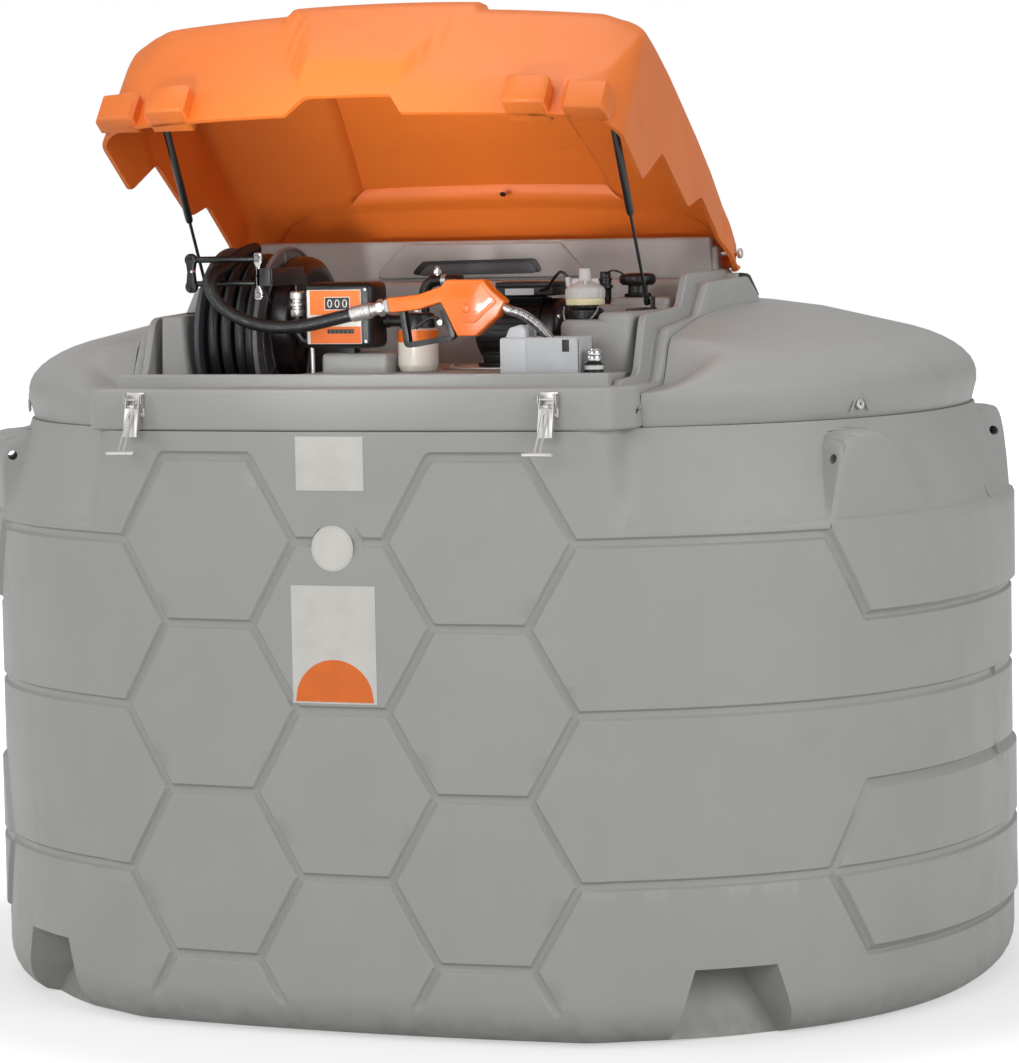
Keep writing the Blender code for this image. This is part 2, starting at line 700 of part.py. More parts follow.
def cover_form(name, inset, finish=None):
    """Outer form of the cover, or with an inset the hollow inside it."""
    i = inset
    low = SPLIT_Z + SEAT if not inset else SPLIT_Z - 0.03
    base = place(cover_dome(inset), name, finish, cutter=finish is None)
    over = [(-1.300, LEDGE_Z - i)] + stairs(-i) + [(-0.400, PLATEAU_Z - i), (-0.400, 1.900), (-1.300, 1.900)]
    cut(base, prism(over, -FRAME_HALF, FRAME_HALF, "X"))
    block = prism(front_block_plan(i), low, LEDGE_Z - i)
    side = [(-1.030 + i, 1.380), (-1.030 + i, LEDGE_Z - 0.001 - i)] + stairs(-i, -i)
    side += [(-0.165 - i, PLATEAU_Z - i), (-0.070 - i, 1.598 - i), (-0.070 - i, 1.380)]
    frame = prism(side, -FRAME_HALF + i, FRAME_HALF - i, "X")
    rim_side = [(-0.990, 1.390), (-0.990, LEDGE_Z + RIM_RISE - i)] + stairs(RIM_RISE - i, 0.018 - i)
    rim_side += [(-0.246, PLATEAU_Z + RIM_RISE - 0.010 - i), (-0.246, 1.390)]
    rim = prism(rim_side, -RIM_HALF + i, RIM_HALF - i, "X")
    front_rim = prism(strip_plan(-RIM_HALF + i, RIM_HALF - i, RIM_FRONT_INSET + i, -0.940), 1.390,
                      LEDGE_Z + RIM_RISE - i)
    bulkhead = box((-BULKHEAD_HALF + i, -0.2448 + i, 1.600), (BULKHEAD_HALF - i, -0.195 - i, BULKHEAD_Z - i))
    join(base, block, frame, rim, front_rim, bulkhead)
    return base


def build_cover():
    """Top cover: a shell with the pump bay cut through it and two hinge blocks."""
    cover = cover_form("top_cover", 0.0, GREY)
    hollow = cover_form("cover_hollow", COVER_WALL)
    bay = prism(strip_plan(-BAY_HALF, BAY_HALF, BAY_FRONT_INSET, BAY_REAR), 1.20, 1.90)
    for side in (-1, 1):
        inner, outer = sorted((side * 0.530, side * 0.588))
        join(cover, box((inner, -0.235, 1.640), (outer, -0.192, 1.724)))
    cut(cover, hollow, bay)
    for side in (-1, 1):
        cut(cover, cylinder(0.0063, 0.560 if side > 0 else -0.610, 0.610 if side > 0 else -0.560,
                            (HINGE_Y, HINGE_Z), "X", 12))
    return cover


def lid_solid(inset):
    """Closed lid as a solid: sections across X, lofted from front to rear."""
    half = LID_HALF - 0.006
    stations = [(LID_FRONT_Y, 1.545, half - 0.016), (-1.084, 1.580, half - 0.010), (-1.052, 1.675, half - 0.004),
                (-1.020, 1.722, half), (-0.900, 1.757, half), (-0.690, 1.795, half), (-0.430, 1.812, half),
                (-0.250, 1.802, half), (-0.175, 1.790, half), (LID_REAR_Y, 1.765, half - 0.002)]
    rings = []
    last = len(stations) - 1
    for k, (y, top, half) in enumerate(stations):
        if inset:
            y += inset if k == 0 else (-inset if k == last else inset * (0.6 if k < 3 else 0.0))
        top, half, low_half = top - inset, half - inset, half + 0.006 - inset
        drop = 0.030
        ring = [(-low_half, y, 1.400), (-half, y, top - 0.080), (-half + 0.020, y, top - 0.030),
                (-half + 0.070, y, top - 0.005), (-half * 0.5, y, top + 0.4 * drop), (0, y, top + 0.6 * drop)]
        ring += [(-x, y, z) for x, y, z in reversed(ring[:-1])]
        ring += [(low_half * share, y, 1.400) for share in (0.5, 0.0, -0.5)]
        rings.append([(x, y + FACE_BULGE * x * x * max(0.0, 1 - k / 4), z) for x, y, z in ring])
    return loft(rings)


def build_lid(axis):
    """Orange lid, made shut and turned open about the hinge."""
    lid = place(lid_solid(0.0), "lid", ORANGE)
    for side in (-1, 1):
        low, high = sorted((side * 0.375, side * 0.605))
        block = prism([(low, LID_FRONT_Y + 0.060), (high, LID_FRONT_Y + 0.060), (high, -1.088), (high - 0.012, -1.099),
                       (low + 0.012, -1.126), (low, -1.114)] if side > 0 else
                      [(low, LID_FRONT_Y + 0.060), (high, LID_FRONT_Y + 0.060), (high, -1.114),
                       (high - 0.012, -1.126), (low + 0.012, -1.099), (low, -1.088)], 1.400, 1.518)
        join(lid, block)
    panel = prism([(-0.230, -1.025), (0.230, -1.025), (0.330, -0.300), (-0.330, -0.300)], 1.700, 1.900)
    front_panel = prism([(-0.118, 1.548), (0.118, 1.548), (0.230, 1.755), (0.230, 1.900), (-0.230, 1.900),
                         (-0.230, 1.755)], -1.200, -1.020, "Y")
    roof = lid_solid(-0.022)
    raised = place(roof, "lid_panel", None, cutter=True)
    change = raised.modifiers.new("Trim", "BOOLEAN")
    change.operation = "INTERSECT"
    change.solver = "EXACT"
    change.object = join(place(panel, "lid_panel_plan", None, cutter=True), front_panel)
    join(lid, raised)
    cut(lid, lid_solid(LID_WALL))
    below = [(-1.30, 1.300), (-1.30, LEDGE_Z + LID_CLEAR)] + stairs(LID_CLEAR + 0.002, 0.008)
    below += [(HINGE_Y - 0.060, PLATEAU_Z + LID_CLEAR + 0.002), (HINGE_Y - LUG_RADIUS, HINGE_Z - 0.012)]
    for degrees in (200, 225, 250, 270, 290, 315, 340):
        angle = math.radians(degrees)
        below.append((HINGE_Y + LUG_RADIUS * math.cos(angle), HINGE_Z + LUG_RADIUS * math.sin(angle)))
    below += [(HINGE_Y + LUG_RADIUS, HINGE_Z), (0.10, HINGE_Z), (0.10, 1.300)]
    cut(lid, prism(below, -0.80, 0.80, "X"))
    grip = [(-0.135, 1.38), (0.135, 1.38), (0.135, 1.448), (0.100, 1.492), (-0.100, 1.492), (-0.135, 1.448)]
    cut(lid, prism(grip, -1.20, -1.02, "Y"))
    for side in (-1, 1):
        centre = side * 0.490
        cut(lid, prism([(centre - 0.013, 1.38), (centre + 0.013, 1.38), (centre + 0.010, 1.55),
                        (centre - 0.010, 1.55)], -1.20, LID_FRONT_Y + 0.022, "Y"))
        cut(lid, cylinder(0.0066, 0.55 if side > 0 else -0.70, 0.70 if side > 0 else -0.55,
                          (HINGE_Y, HINGE_Z), "X", 12))
    return hang_on(lid, axis)


def empty(name, where, turn=0.0):
    """A joint axis: an empty, turned about X."""
    made = bpy.data.objects.new(name, None)
    made.location = where
    made.rotation_euler = (turn, 0, 0)
    PARTS.objects.link(made)
    return made


def hang_on(piece, axis):
    """Hang a piece that was made shut, with the cutters it uses, on the lid's turned axis."""
    waiting = [piece]
    while waiting:
        tool = waiting.pop()
        waiting += [change.object for change in tool.modifiers]
        tool.parent = axis
        tool.matrix_parent_inverse = Matrix.Translation(-axis.location)
    piece.data.transform(Matrix.Translation(-axis.location))
    piece.matrix_parent_inverse = Matrix.Identity(4)
    return piece


def build_hinge_bolts():
    """Bolts that carry the lid, seated in the cover's hinge blocks."""
    for side, name in ((-1, "left"), (1, "right")):
        profile = [(0.0, 0.0), (0.010, 0.0), (0.012, 0.002), (0.012, 0.009), (0.006, 0.009), (0.006, 0.065), (0.0, 0.065)]
        mesh = turned([(r, 0.640 - h) for r, h in profile], (HINGE_Y, HINGE_Z), "X", 16)
        if side < 0:
            mesh.transform(Matrix.Scale(-1, 4, (1, 0, 0)))
            mesh.flip_normals()
        place(mesh, "hinge_bolt_" + name, STEEL, (side * 0.61, HINGE_Y, HINGE_Z))


def build_struts(lid_axis):
    """Gas struts: rod on a foot bracket, cylinder above it, and a bracket in the lid."""
    foot = Vector((0, *STRUT_FOOT))
    head = Vector((0, *STRUT_HEAD))
    reach = (head - foot).length
    tilt = Vector((0, 0, 1)).rotation_difference((head - foot).normalized()).to_matrix().to_4x4()
    closed = Matrix.Rotation(math.radians(LID_OPEN_DEG), 4, "X")
    hinge = Vector((0, HINGE_Y, HINGE_Z))
    closed_head = hinge + closed @ (head - hinge)
    for side, name in ((-1, "left"), (1, "right")):
        x = side * STRUT_X
        pivot = Vector((x, foot.y, foot.z))
        start = reach - STRUT_CYLINDER
        rod = turned([(0.0, start + 0.030), (STRUT_ROD_R, start + 0.030), (STRUT_ROD_R, 0.014), (0.008, 0.010),
                      (0.008, -0.008), (0.0, -0.008)], (0, 0), "Z", 12)
        rod.transform(Matrix.Translation(pivot) @ tilt)
        place(rod, "strut_rod_" + name, CHROME, pivot)
        bore = STRUT_ROD_R + 0.0008
        barrel = turned([(0.0, reach + 0.008), (0.008, reach + 0.006), (0.008, reach - 0.016),
                         (STRUT_CYLINDER_R, reach - 0.020), (STRUT_CYLINDER_R, start), (bore, start),
                         (bore, start + 0.240), (0.0, start + 0.240)], (0, 0), "Z", 16)
        barrel.transform(Matrix.Translation(pivot) @ tilt)
        place(barrel, "strut_cylinder_" + name, BLACK_STEEL, pivot)
        ground = BLOCK_Z + SEAT
        plate = place(box((x - 0.016, foot.y - 0.100, ground), (x + 0.016, foot.y + 0.020, ground + 0.004)),
                      "strut_foot_" + name, BLACK_STEEL, pivot)
        ear_x = x + side * 0.0115
        low, high = sorted((ear_x, ear_x + side * 0.004))
        join(plate, box((low, foot.y - 0.012, ground + 0.002), (high, foot.y + 0.012, foot.z + 0.010)))
        tip_low, tip_high = sorted((x + side * 0.0084, ear_x + side * 0.001))
        join(plate, cylinder(0.004, tip_low, tip_high, (foot.y, foot.z), "X", 12))
        inner, outer = sorted((x + side * 0.020, side * LID_HALF))
        bracket = box((inner, closed_head.y - 0.016, closed_head.z - 0.012),
                      (outer, closed_head.y + 0.016, closed_head.z + 0.022))
        made = place(bracket, "strut_bracket_" + name, BLACK_STEEL)
        boolean(made, lid_solid(LID_WALL + SEAT), "INTERSECT")
        hang_on(made, lid_axis)


def build_latches():
    """Toggle latches: base plate, hanging lever and T-shaped hook."""
    for side, name in ((-1, "left"), (1, "right")):
        x = side * 0.490
        wall = face_y(0.469) - SEAT - 0.0002
        base = place(box((x - 0.021, wall - 0.0022, 1.372), (x + 0.021, wall, 1.428)), "latch_base_" + name, STEEL,
                     (x, wall, 1.400))
        pivot_y, pivot_z = wall - 0.014, 1.412
        for ear in (-1, 1):
            low, high = sorted((x + ear * 0.0190, x + ear * 0.0210))
            join(base, prism([(wall - 0.001, 1.390), (wall - 0.001, 1.426), (pivot_y - 0.006, 1.420),
                              (pivot_y - 0.006, 1.404)], low, high, "X"))
        lever_axis = Vector((x, pivot_y, pivot_z))
        lean = Matrix.Translation(lever_axis) @ Matrix.Rotation(math.radians(-12), 4, "X")
        pin = cylinder(0.0025, -0.0187, 0.0187, (0, 0), "X", 10)
        pin.transform(lean)
        lever = place(pin, "latch_lever_" + name, STEEL, lever_axis)
        for arm in (-1, 1):
            low, high = sorted((arm * 0.0150, arm * 0.0170))
            cheek = box((low, -0.006, -0.085), (high, 0.006, 0.006))
            cheek.transform(lean)
            join(lever, cheek)
        web = box((-0.0165, -0.0062, -0.0845), (0.0165, -0.0040, -0.056))
        web.transform(lean)
        hook_pin = cylinder(0.0025, -0.0160, 0.0160, (0, -0.016), "X", 10)
        hook_pin.transform(lean)
        join(lever, web, hook_pin)
        hook_axis = lean @ Vector((0, 0, -0.016))
        swing = Matrix.Translation(hook_axis) @ Matrix.Rotation(math.radians(-35), 4, "X")
        eye = cylinder(0.0060, -0.0060, 0.0060, (0, 0), "X", 12)
        stem = cylinder(0.0035, -0.118, -0.004, (0, 0), "Z", 10)
        bar = cylinder(0.0050, -0.034, 0.034, (0, -0.120), "X", 12)
        bore = cylinder(0.0031, -0.02, 0.02, (0, 0), "X", 12)
        for mesh in (eye, stem, bar, bore):
            mesh.transform(swing)
        hook = place(eye, "latch_hook_" + name, STEEL, hook_axis)
        join(hook, stem, bar)
        cut(hook, bore)


def build_reel():
    """Hose reel: frame with axle, drum with flanges, windings and spring case."""
    ground = INNER_TOP_Z + SEAT + DECK_THICK + SEAT
    frame = place(box((-0.500, -0.800, ground), (-0.235, -0.440, ground + 0.006)), "reel_frame", BLACK_STEEL)
    upright = prism([(REEL_Y - 0.120, ground + 0.003), (REEL_Y + 0.120, ground + 0.003), (REEL_Y + 0.050, REEL_Z + 0.06),
                     (REEL_Y - 0.050, REEL_Z + 0.06)], -0.262, -0.254, "X")
    axle = cylinder(AXLE_R, REEL_LEFT - 0.008, -0.258, (REEL_Y, REEL_Z), "X", 16)
    collar = cylinder(AXLE_R + 0.010, REEL_LEFT - 0.0155, REEL_LEFT - 0.006, (REEL_Y, REEL_Z), "X", 16)
    arm = box((-0.262, GUIDE_Y - 0.012, REEL_Z + 0.110), (-0.256, REEL_Y - 0.090, REEL_Z + 0.150))
    wrist = box((-0.2947, GUIDE_Y - 0.012, REEL_Z + 0.110), (-0.257, GUIDE_Y - 0.006, REEL_Z + 0.150))
    brace = prism([(REEL_Y - 0.120, REEL_Z - 0.02), (REEL_Y - 0.02, REEL_Z - 0.02), (REEL_Y - 0.080, REEL_Z + 0.150),
                   (REEL_Y - 0.140, REEL_Z + 0.150)], -0.2615, -0.2565, "X")
    join(frame, upright, axle, collar, brace, arm, wrist)
    drum = place(cylinder(DRUM_RADIUS, REEL_LEFT + 0.002, REEL_RIGHT - 0.002, (REEL_Y, REEL_Z), "X", 32), "reel_drum",
                 DARK_GREY, (REEL_LEFT, REEL_Y, REEL_Z))
    for low in (REEL_LEFT, REEL_RIGHT - FLANGE_THICK):
        join(drum, cylinder(REEL_RADIUS, low, low + FLANGE_THICK, (REEL_Y, REEL_Z), "X", 40))
    cut(drum, cylinder(AXLE_R + SEAT, -0.60, -0.20, (REEL_Y, REEL_Z), "X", 16))
    low, high = REEL_LEFT + FLANGE_THICK + SEAT, REEL_RIGHT - FLANGE_THICK - SEAT
    winding = place(cylinder(WINDING_RADIUS, low, high, (REEL_Y, REEL_Z), "X", 36), "hose_winding", RUBBER,
                    (REEL_LEFT, REEL_Y, REEL_Z))
    cut(winding, cylinder(DRUM_RADIUS + SEAT, -0.60, -0.20, (REEL_Y, REEL_Z), "X", 32))
    spring = place(cylinder(0.190, REEL_RIGHT + 0.006, -0.2625, (REEL_Y, REEL_Z), "X", 36), "spring_case", BLACK)
    cut(spring, cylinder(AXLE_R + SEAT, -0.60, -0.20, (REEL_Y, REEL_Z), "X", 16))


GUIDE_Y = -0.880


def build_guide():
    """Roller guide in front of the reel."""
    guide = place(box((-0.470, GUIDE_Y - 0.012, 1.632), (-0.458, GUIDE_Y + 0.012, 1.738), 0.002), "hose_guide", BLACK_STEEL)
    top = cylinder(0.0070, -0.462, -0.302, (GUIDE_Y, 1.717), "X", 12)
    low = cylinder(0.0060, -0.462, -0.302, (GUIDE_Y, 1.6625), "X", 12)
    join(guide, top, low)
    place(box((-0.3017, GUIDE_Y - 0.012, 1.624), (-0.2950, GUIDE_Y + 0.012, 1.732), 0.002), "guide_end_plate",
          CHROME)


HOSE_ROUTE = [(-0.398, -0.665, 1.7375), (-0.398, -0.730, 1.7290), (-0.397, -0.800, 1.7100), (-0.396, -0.860, 1.6930),
              (-0.394, -0.910, 1.6820), (-0.389, -0.938, 1.6600), (-0.374, -0.945, 1.6290), (-0.345, -0.945, 1.6020),
              (-0.309, -0.945, 1.5830), (-0.267, -0.945, 1.5700), (-0.223, -0.945, 1.5645), (-0.174, -0.945, 1.5655),
              (-0.125, -0.948, 1.5730), (-0.080, -0.950, 1.5825), (-0.040, -0.950, 1.5910)]
HOSE_POINTS = 36
SWIVEL_END = 0.098             # from the hose's end to the nozzle's handle


def smooth_route(points, count):
    """Points at even steps along a smooth curve through the given ones."""
    dense = []
    padded = [2 * Vector(points[0]) - Vector(points[1])] + [Vector(p) for p in points]
    padded.append(2 * Vector(points[-1]) - Vector(points[-2]))
    for a, b, c, d in zip(padded, padded[1:], padded[2:], padded[3:]):
        for k in range(12):
            t = k / 12
            dense.append(0.5 * (2 * b + (c - a) * t + (2 * a - 5 * b + 4 * c - d) * t ** 2
                                + (3 * b - a - 3 * c + d) * t ** 3))
    dense.append(padded[-2])
    length = [0.0]
    for a, b in zip(dense, dense[1:]):
        length.append(length[-1] + (b - a).length)
    route = []
    for k in range(count):
        want = length[-1] * k / (count - 1)
        i = min(max(n for n, value in enumerate(length) if value <= want + 1e-9), len(dense) - 2)
        t = (want - length[i]) / (length[i + 1] - length[i])
        route.append(dense[i].lerp(dense[i + 1], t))
    return route


def build_hose():
    """Delivery hose between the reel and the nozzle, with its ferrule and swivel."""
    route = smooth_route(HOSE_ROUTE, HOSE_POINTS)
    place(tube(route, HOSE_R), "delivery_hose", RUBBER)
    end = route[-1]
    along = (route[-1] - route[-2]).normalized()
    turn = Vector((0, 0, 1)).rotation_difference(along).to_matrix().to_4x4()
    ferrule = turned([(0, 0.050), (0.016, 0.050), (0.018, 0.044), (0.018, 0.004), (0.016, SEAT), (0, SEAT)], (0, 0), "Z", 20)
    ferrule.transform(Matrix.Translation(end) @ turn)
    place(ferrule, "hose_ferrule", STEEL)
    swivel = turned([(0, SWIVEL_END), (0.013, SWIVEL_END), (0.019, 0.094), (0.019, 0.074), (0.015, 0.068), (0.015, 0.0503),
                     (0, 0.0503)],
                    (0, 0), "Z", 12)
    swivel.transform(Matrix.Translation(end) @ turn)
    place(swivel, "hose_swivel", STEEL)
    return end + along * (SWIVEL_END + SEAT), along


NOZZLE_Y = -0.950
NOSE_TOP = (0.3317, 1.6183)
NOSE_LOW = (0.3147, 1.5856)
SPOUT_R = 0.0115


def spout_route():
    """Points of the spout's middle line, square to the nozzle's nose and down into the holder."""
    top, low = (Vector((x, NOZZLE_Y, z)) for x, z in (NOSE_TOP, NOSE_LOW))
    ahead = (low - top).cross(Vector((0, 1, 0))).normalized()
    root = top.lerp(low, 0.42) + ahead * SEAT
    return [root, root + ahead * 0.014, (0.3651, NOZZLE_Y, 1.5890), (0.395, NOZZLE_Y, 1.5700),
            (0.418, NOZZLE_Y, 1.5480), (0.436, NOZZLE_Y, 1.5240), (0.446, NOZZLE_Y, 1.4980)]


def build_nozzle(start, along):
    """Filling nozzle: body, guard, trigger and spout."""
    low, high = ((start.x + sign * along.z * 0.017, start.z - sign * along.x * 0.017) for sign in (1, -1))
    outline = [low, high, (0.1255, 1.6345), (0.1822, 1.6520), (0.1944, 1.6669), (0.2823, 1.6659), (0.3000, 1.6449),
               NOSE_TOP, NOSE_LOW, (0.2625, 1.5421), (0.2184, 1.5424), (0.1815, 1.6170), (0.1248, 1.6010)]
    place(prism(outline, NOZZLE_Y - 0.020, NOZZLE_Y + 0.020, "Y"), "nozzle_body", ORANGE_TRIM)
    guard = prism([(0.0650, 1.6110), (0.0662, 1.5987), (0.0846, 1.5454), (0.0870, 1.5144), (0.2004, 1.5300),
                   (0.2172, 1.5400), (0.1900, 1.6110)], NOZZLE_Y - 0.012, NOZZLE_Y + 0.012, "Y")
    made = place(guard, "nozzle_guard", BLACK)
    cut(made, prism(grown(outline, SEAT), NOZZLE_Y - 0.05, NOZZLE_Y + 0.05, "Y"))
    cut(made, prism([(0.0940, 1.700), (0.0975, 1.5960), (0.1015, 1.5453), (0.1066, 1.5342), (0.1925, 1.5480),
                     (0.1630, 1.6150), (0.1630, 1.700)], NOZZLE_Y - 0.05, NOZZLE_Y + 0.05, "Y"))
    pivot = Vector((0.1748, NOZZLE_Y, 1.5727))
    lever = place(cylinder(0.006, NOZZLE_Y - 0.009, NOZZLE_Y + 0.009, (pivot.x, pivot.z), "Y", 14), "nozzle_trigger",
                  STEEL, pivot)
    join(lever, tube([pivot, (0.157, NOZZLE_Y, 1.583), (0.143, NOZZLE_Y, 1.581), (0.114, NOZZLE_Y, 1.560)], 0.004, 2))
    place(tube(spout_route(), SPOUT_R, 3), "nozzle_spout", CHROME)


def build_holder():
    """Light grey nozzle holder with an open socket."""
    ground = DECK_Z + SEAT
    holder = place(box((0.329, -1.000, ground), (0.510, -0.895, 1.540), 0.006, 2), "nozzle_holder", PALE_GREY)
    cradle = [(0.3290, ground + 0.010), (0.3300, 1.522), (0.3480, 1.5620), (0.3760, 1.5690), (0.3860, 1.5690),
              (0.3860, ground + 0.010)]
    join(holder, prism(cradle, -0.985, -0.915, "Y"))
    cut(holder, tube(spout_route(), SPOUT_R + SEAT, 3))
    cut(holder, box((0.3950, -0.985, 1.478), (0.500, -0.910, 1.600)))
    cut(holder, box((0.4740, -1.020, 1.507), (0.4920, -0.980, 1.536)))


METER_RIGHT = -0.012


def build_meter():
    """Flow meter: black case on a foot, with its face plate."""
    case = place(box((-0.177, -0.900, 1.5140), (METER_RIGHT, -0.800, 1.662), 0.012, 2), "meter_case", BLACK)
    join(case, box((-0.120, -0.880, DECK_Z + SEAT), (-0.060, -0.820, 1.530)))
    place(box((-0.1675, -0.9040, 1.5245), (-0.0360, -0.9003, 1.6460)), "meter_face", WHITE)


def build_filter():
    """Fuel filter: a can on the meter's outlet pipe under its head."""
    can = turned([(0, 1.556), (0.038, 1.556), (0.046, 1.550), (0.046, DECK_Z + 0.012), (0.040, DECK_Z + SEAT), (0, DECK_Z + SEAT)],
                 (0.058, -0.800), "Z", 28)
    place(can, "filter_can", WHITE)
    head = place(cylinder(0.040, 1.5563, 1.590, (0.058, -0.800), "Z", 24), "filter_head", BLACK)
    join(head, cylinder(0.016, METER_RIGHT + SEAT, 0.058, (-0.820, 1.573), "X", 14))


def build_pump():
    """Electric pump: motor with terminal box, pump head and base plate."""
    ground = DECK_Z + SEAT
    place(box((0.085, -0.720, ground), (0.330, -0.480, ground + 0.004)), "pump_base_plate", STEEL)
    motor_y, motor_z = -0.600, 1.545
    motor = place(cylinder(0.076, 0.140, 0.300, (motor_y, motor_z), "X", 24), "pump_motor", BLACK)
    join(motor, box((0.150, -0.665, ground + 0.004 + SEAT), (0.290, -0.535, motor_z - 0.030)))
    place(box((0.190, -0.650, motor_z + 0.0763), (0.327, -0.550, 1.653)), "motor_terminal_box", BLACK)
    head = place(cylinder(0.070, 0.3003, 0.350, (motor_y, motor_z), "X", 24), "pump_head", BLACK)
    join(head, cylinder(0.045, 0.345, 0.366, (motor_y, motor_z), "X", 20))


def build_pipes():
    """Suction elbow with its plug."""
    elbow = tube([(0.010, -0.640, DECK_Z + SEAT), (0.010, -0.640, 1.595), (0.008, -0.640, 1.632), (0.014, -0.640, 1.652),
                  (0.034, -0.640, 1.658), (0.060, -0.640, 1.658), (0.105, -0.640, 1.658)], 0.013, 3)
    place(elbow, "suction_elbow", BLACK)
    place(cylinder(0.010, 1.6715, 1.692, (0.045, -0.640), "Z", 6), "elbow_plug", STEEL)


def build_fittings():
    """Filler neck with cap, level gauge, manhole cap and valve fitting."""
    ground = FILLER_SEAT_Z + SEAT
    where = (0.446, -0.762)
    place(turned([(0, 1.603), (0.030, 1.603), (0.030, 1.598), (0.040, 1.592), (0.040, ground), (0, ground)], where, "Z", 28),
          "filler_collar", BLACK)
    place(turned([(0, 1.684), (0.012, 1.684), (0.0135, 1.680), (0.0135, 1.656), (0.040, 1.650), (0.0445, 1.640),
                  (0.0445, 1.6033), (0, 1.6033)], where, "Z", 28), "filler_cap", WHITE)
    back = 1.598 + SEAT
    place(turned([(0, 1.672), (0.011, 1.672), (0.013, 1.668), (0.013, 1.650), (0.017, 1.648), (0.017, 1.640), (0.013, 1.638),
                  (0.013, back), (0, back)], (0.399, -0.490), "Z", 16), "level_gauge", BLACK)
    back = CAP_SEAT_Z + SEAT
    place(turned([(0, 1.668), (0.035, 1.667), (0.041, 1.660), (0.041, 1.646), (0.036, 1.640), (0.022, 1.638), (0.022, back),
                  (0, back)], (0.470, -0.470), "Z", 28), "manhole_cap", BLACK)
    deck = DECK_Z + SEAT
    place(turned([(0, 1.514), (0.015, 1.514), (0.018, 1.508), (0.018, 1.488), (0.015, 1.484), (0.021, 1.480), (0.021, deck),
                  (0, deck)], (0.537, -0.970), "Z", 20), "valve_fitting", STEEL)


def main():
    """Build every piece."""
    build_outer_tank()
    build_inner_tank()
    build_inner_top()
    build_cover()
    lid_axis = empty("lid_hinge_axis", (0, HINGE_Y, HINGE_Z), -math.radians(LID_OPEN_DEG))
    build_lid(lid_axis)
    build_hinge_bolts()
    build_struts(lid_axis)
    build_latches()
    build_reel()
    build_guide()
    build_nozzle(*build_hose())
    build_holder()
    build_meter()
    build_filter()
    build_pump()
    build_pipes()
    build_fittings()


main()
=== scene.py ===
"""Looks of the fuel tank with pump: finishes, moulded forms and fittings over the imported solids.

Metres, +Z up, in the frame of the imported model. The origin is on the ground at the middle of the tank,
the front faces -Y and X runs to the right.
"""
from __future__ import annotations

import logging
import math
from bisect import bisect_right
from collections.abc import Callable, Sequence
from dataclasses import dataclass
from enum import Enum

import bmesh
import bpy
from mathutils import Matrix, Vector
from mathutils.geometry import delaunay_2d_cdt

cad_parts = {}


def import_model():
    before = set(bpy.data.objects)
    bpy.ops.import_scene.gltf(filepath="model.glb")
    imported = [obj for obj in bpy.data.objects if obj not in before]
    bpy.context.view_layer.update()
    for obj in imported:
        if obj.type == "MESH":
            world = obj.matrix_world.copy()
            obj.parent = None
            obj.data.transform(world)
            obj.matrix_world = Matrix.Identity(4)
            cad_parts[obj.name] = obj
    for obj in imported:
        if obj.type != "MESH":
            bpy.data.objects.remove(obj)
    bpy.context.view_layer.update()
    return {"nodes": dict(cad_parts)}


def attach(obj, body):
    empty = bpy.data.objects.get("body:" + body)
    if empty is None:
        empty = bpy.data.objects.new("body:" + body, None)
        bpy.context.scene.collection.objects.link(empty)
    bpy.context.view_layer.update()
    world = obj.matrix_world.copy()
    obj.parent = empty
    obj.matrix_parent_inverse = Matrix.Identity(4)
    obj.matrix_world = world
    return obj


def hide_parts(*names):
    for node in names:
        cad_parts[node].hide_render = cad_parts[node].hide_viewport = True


LOG = logging.getLogger("fuel_tank")
MM = 0.001


# Colour and nodes

def linear(hex_colour: str) -> tuple[float, float, float, float]:
    """Turn an sRGB hex colour into linear RGBA.

    Args:
        hex_colour: Six hex digits, with or without a leading hash.

    Returns:
        The linear colour with an alpha of 1.
    """
    digits = hex_colour.lstrip("#")
    channels = [int(digits[i:i + 2], 16) / 255 for i in (0, 2, 4)]
    scaled = [c / 12.92 if c <= 0.04045 else ((c + 0.055) / 1.055) ** 2.4 for c in channels]
    return (scaled[0], scaled[1], scaled[2], 1.0)


def add_node(tree: bpy.types.NodeTree, kind: str, settings: dict | None = None,
        links: dict | None = None) -> bpy.types.Node:
    """Add a node with its settings and its incoming links.

    Args:
        tree: Node tree that takes the node.
        kind: Blender's type name of the node, after ShaderNode.
        settings: Values by attribute name, or by input name or number.
        links: Output sockets by input name or number.

    Returns:
        The new node.
    """
    node = tree.nodes.new("ShaderNode" + kind)
    for key, value in (settings or {}).items():
        if isinstance(key, str) and hasattr(node, key):
            setattr(node, key, value)
        else:
            node.inputs[key].default_value = value
    for key, socket in (links or {}).items():
        tree.links.new(socket, node.inputs[key])
    return node


def new_material(name: str) -> tuple[bpy.types.Material, bpy.types.NodeTree, bpy.types.Node]:
    """Make an empty node material.

    Args:
        name: Name of the material.

    Returns:
        The material, its tree and its Principled shader.
    """
    material = bpy.data.materials.new(name)
    material.use_nodes = True
    tree = material.node_tree
    return material, tree, tree.nodes["Principled BSDF"]


def ramp(tree: bpy.types.NodeTree, socket: bpy.types.NodeSocket, stops: Sequence[tuple[float,
        float]]) -> bpy.types.NodeSocket:
    """Shape a value with a grey colour ramp.

    Args:
        tree: Node tree to work in.
        socket: Value to shape.
        stops: Position and grey level of each stop.

    Returns:
        The shaped value.
    """
    node = add_node(tree, "ValToRGB", links={"Fac": socket})
    elements = node.color_ramp.elements
    while len(elements) < len(stops):
        elements.new(0.5)
    for element, (position, level) in zip(elements, stops):
        element.position = position
        element.color = (level, level, level, 1.0)
    return node.outputs["Color"]


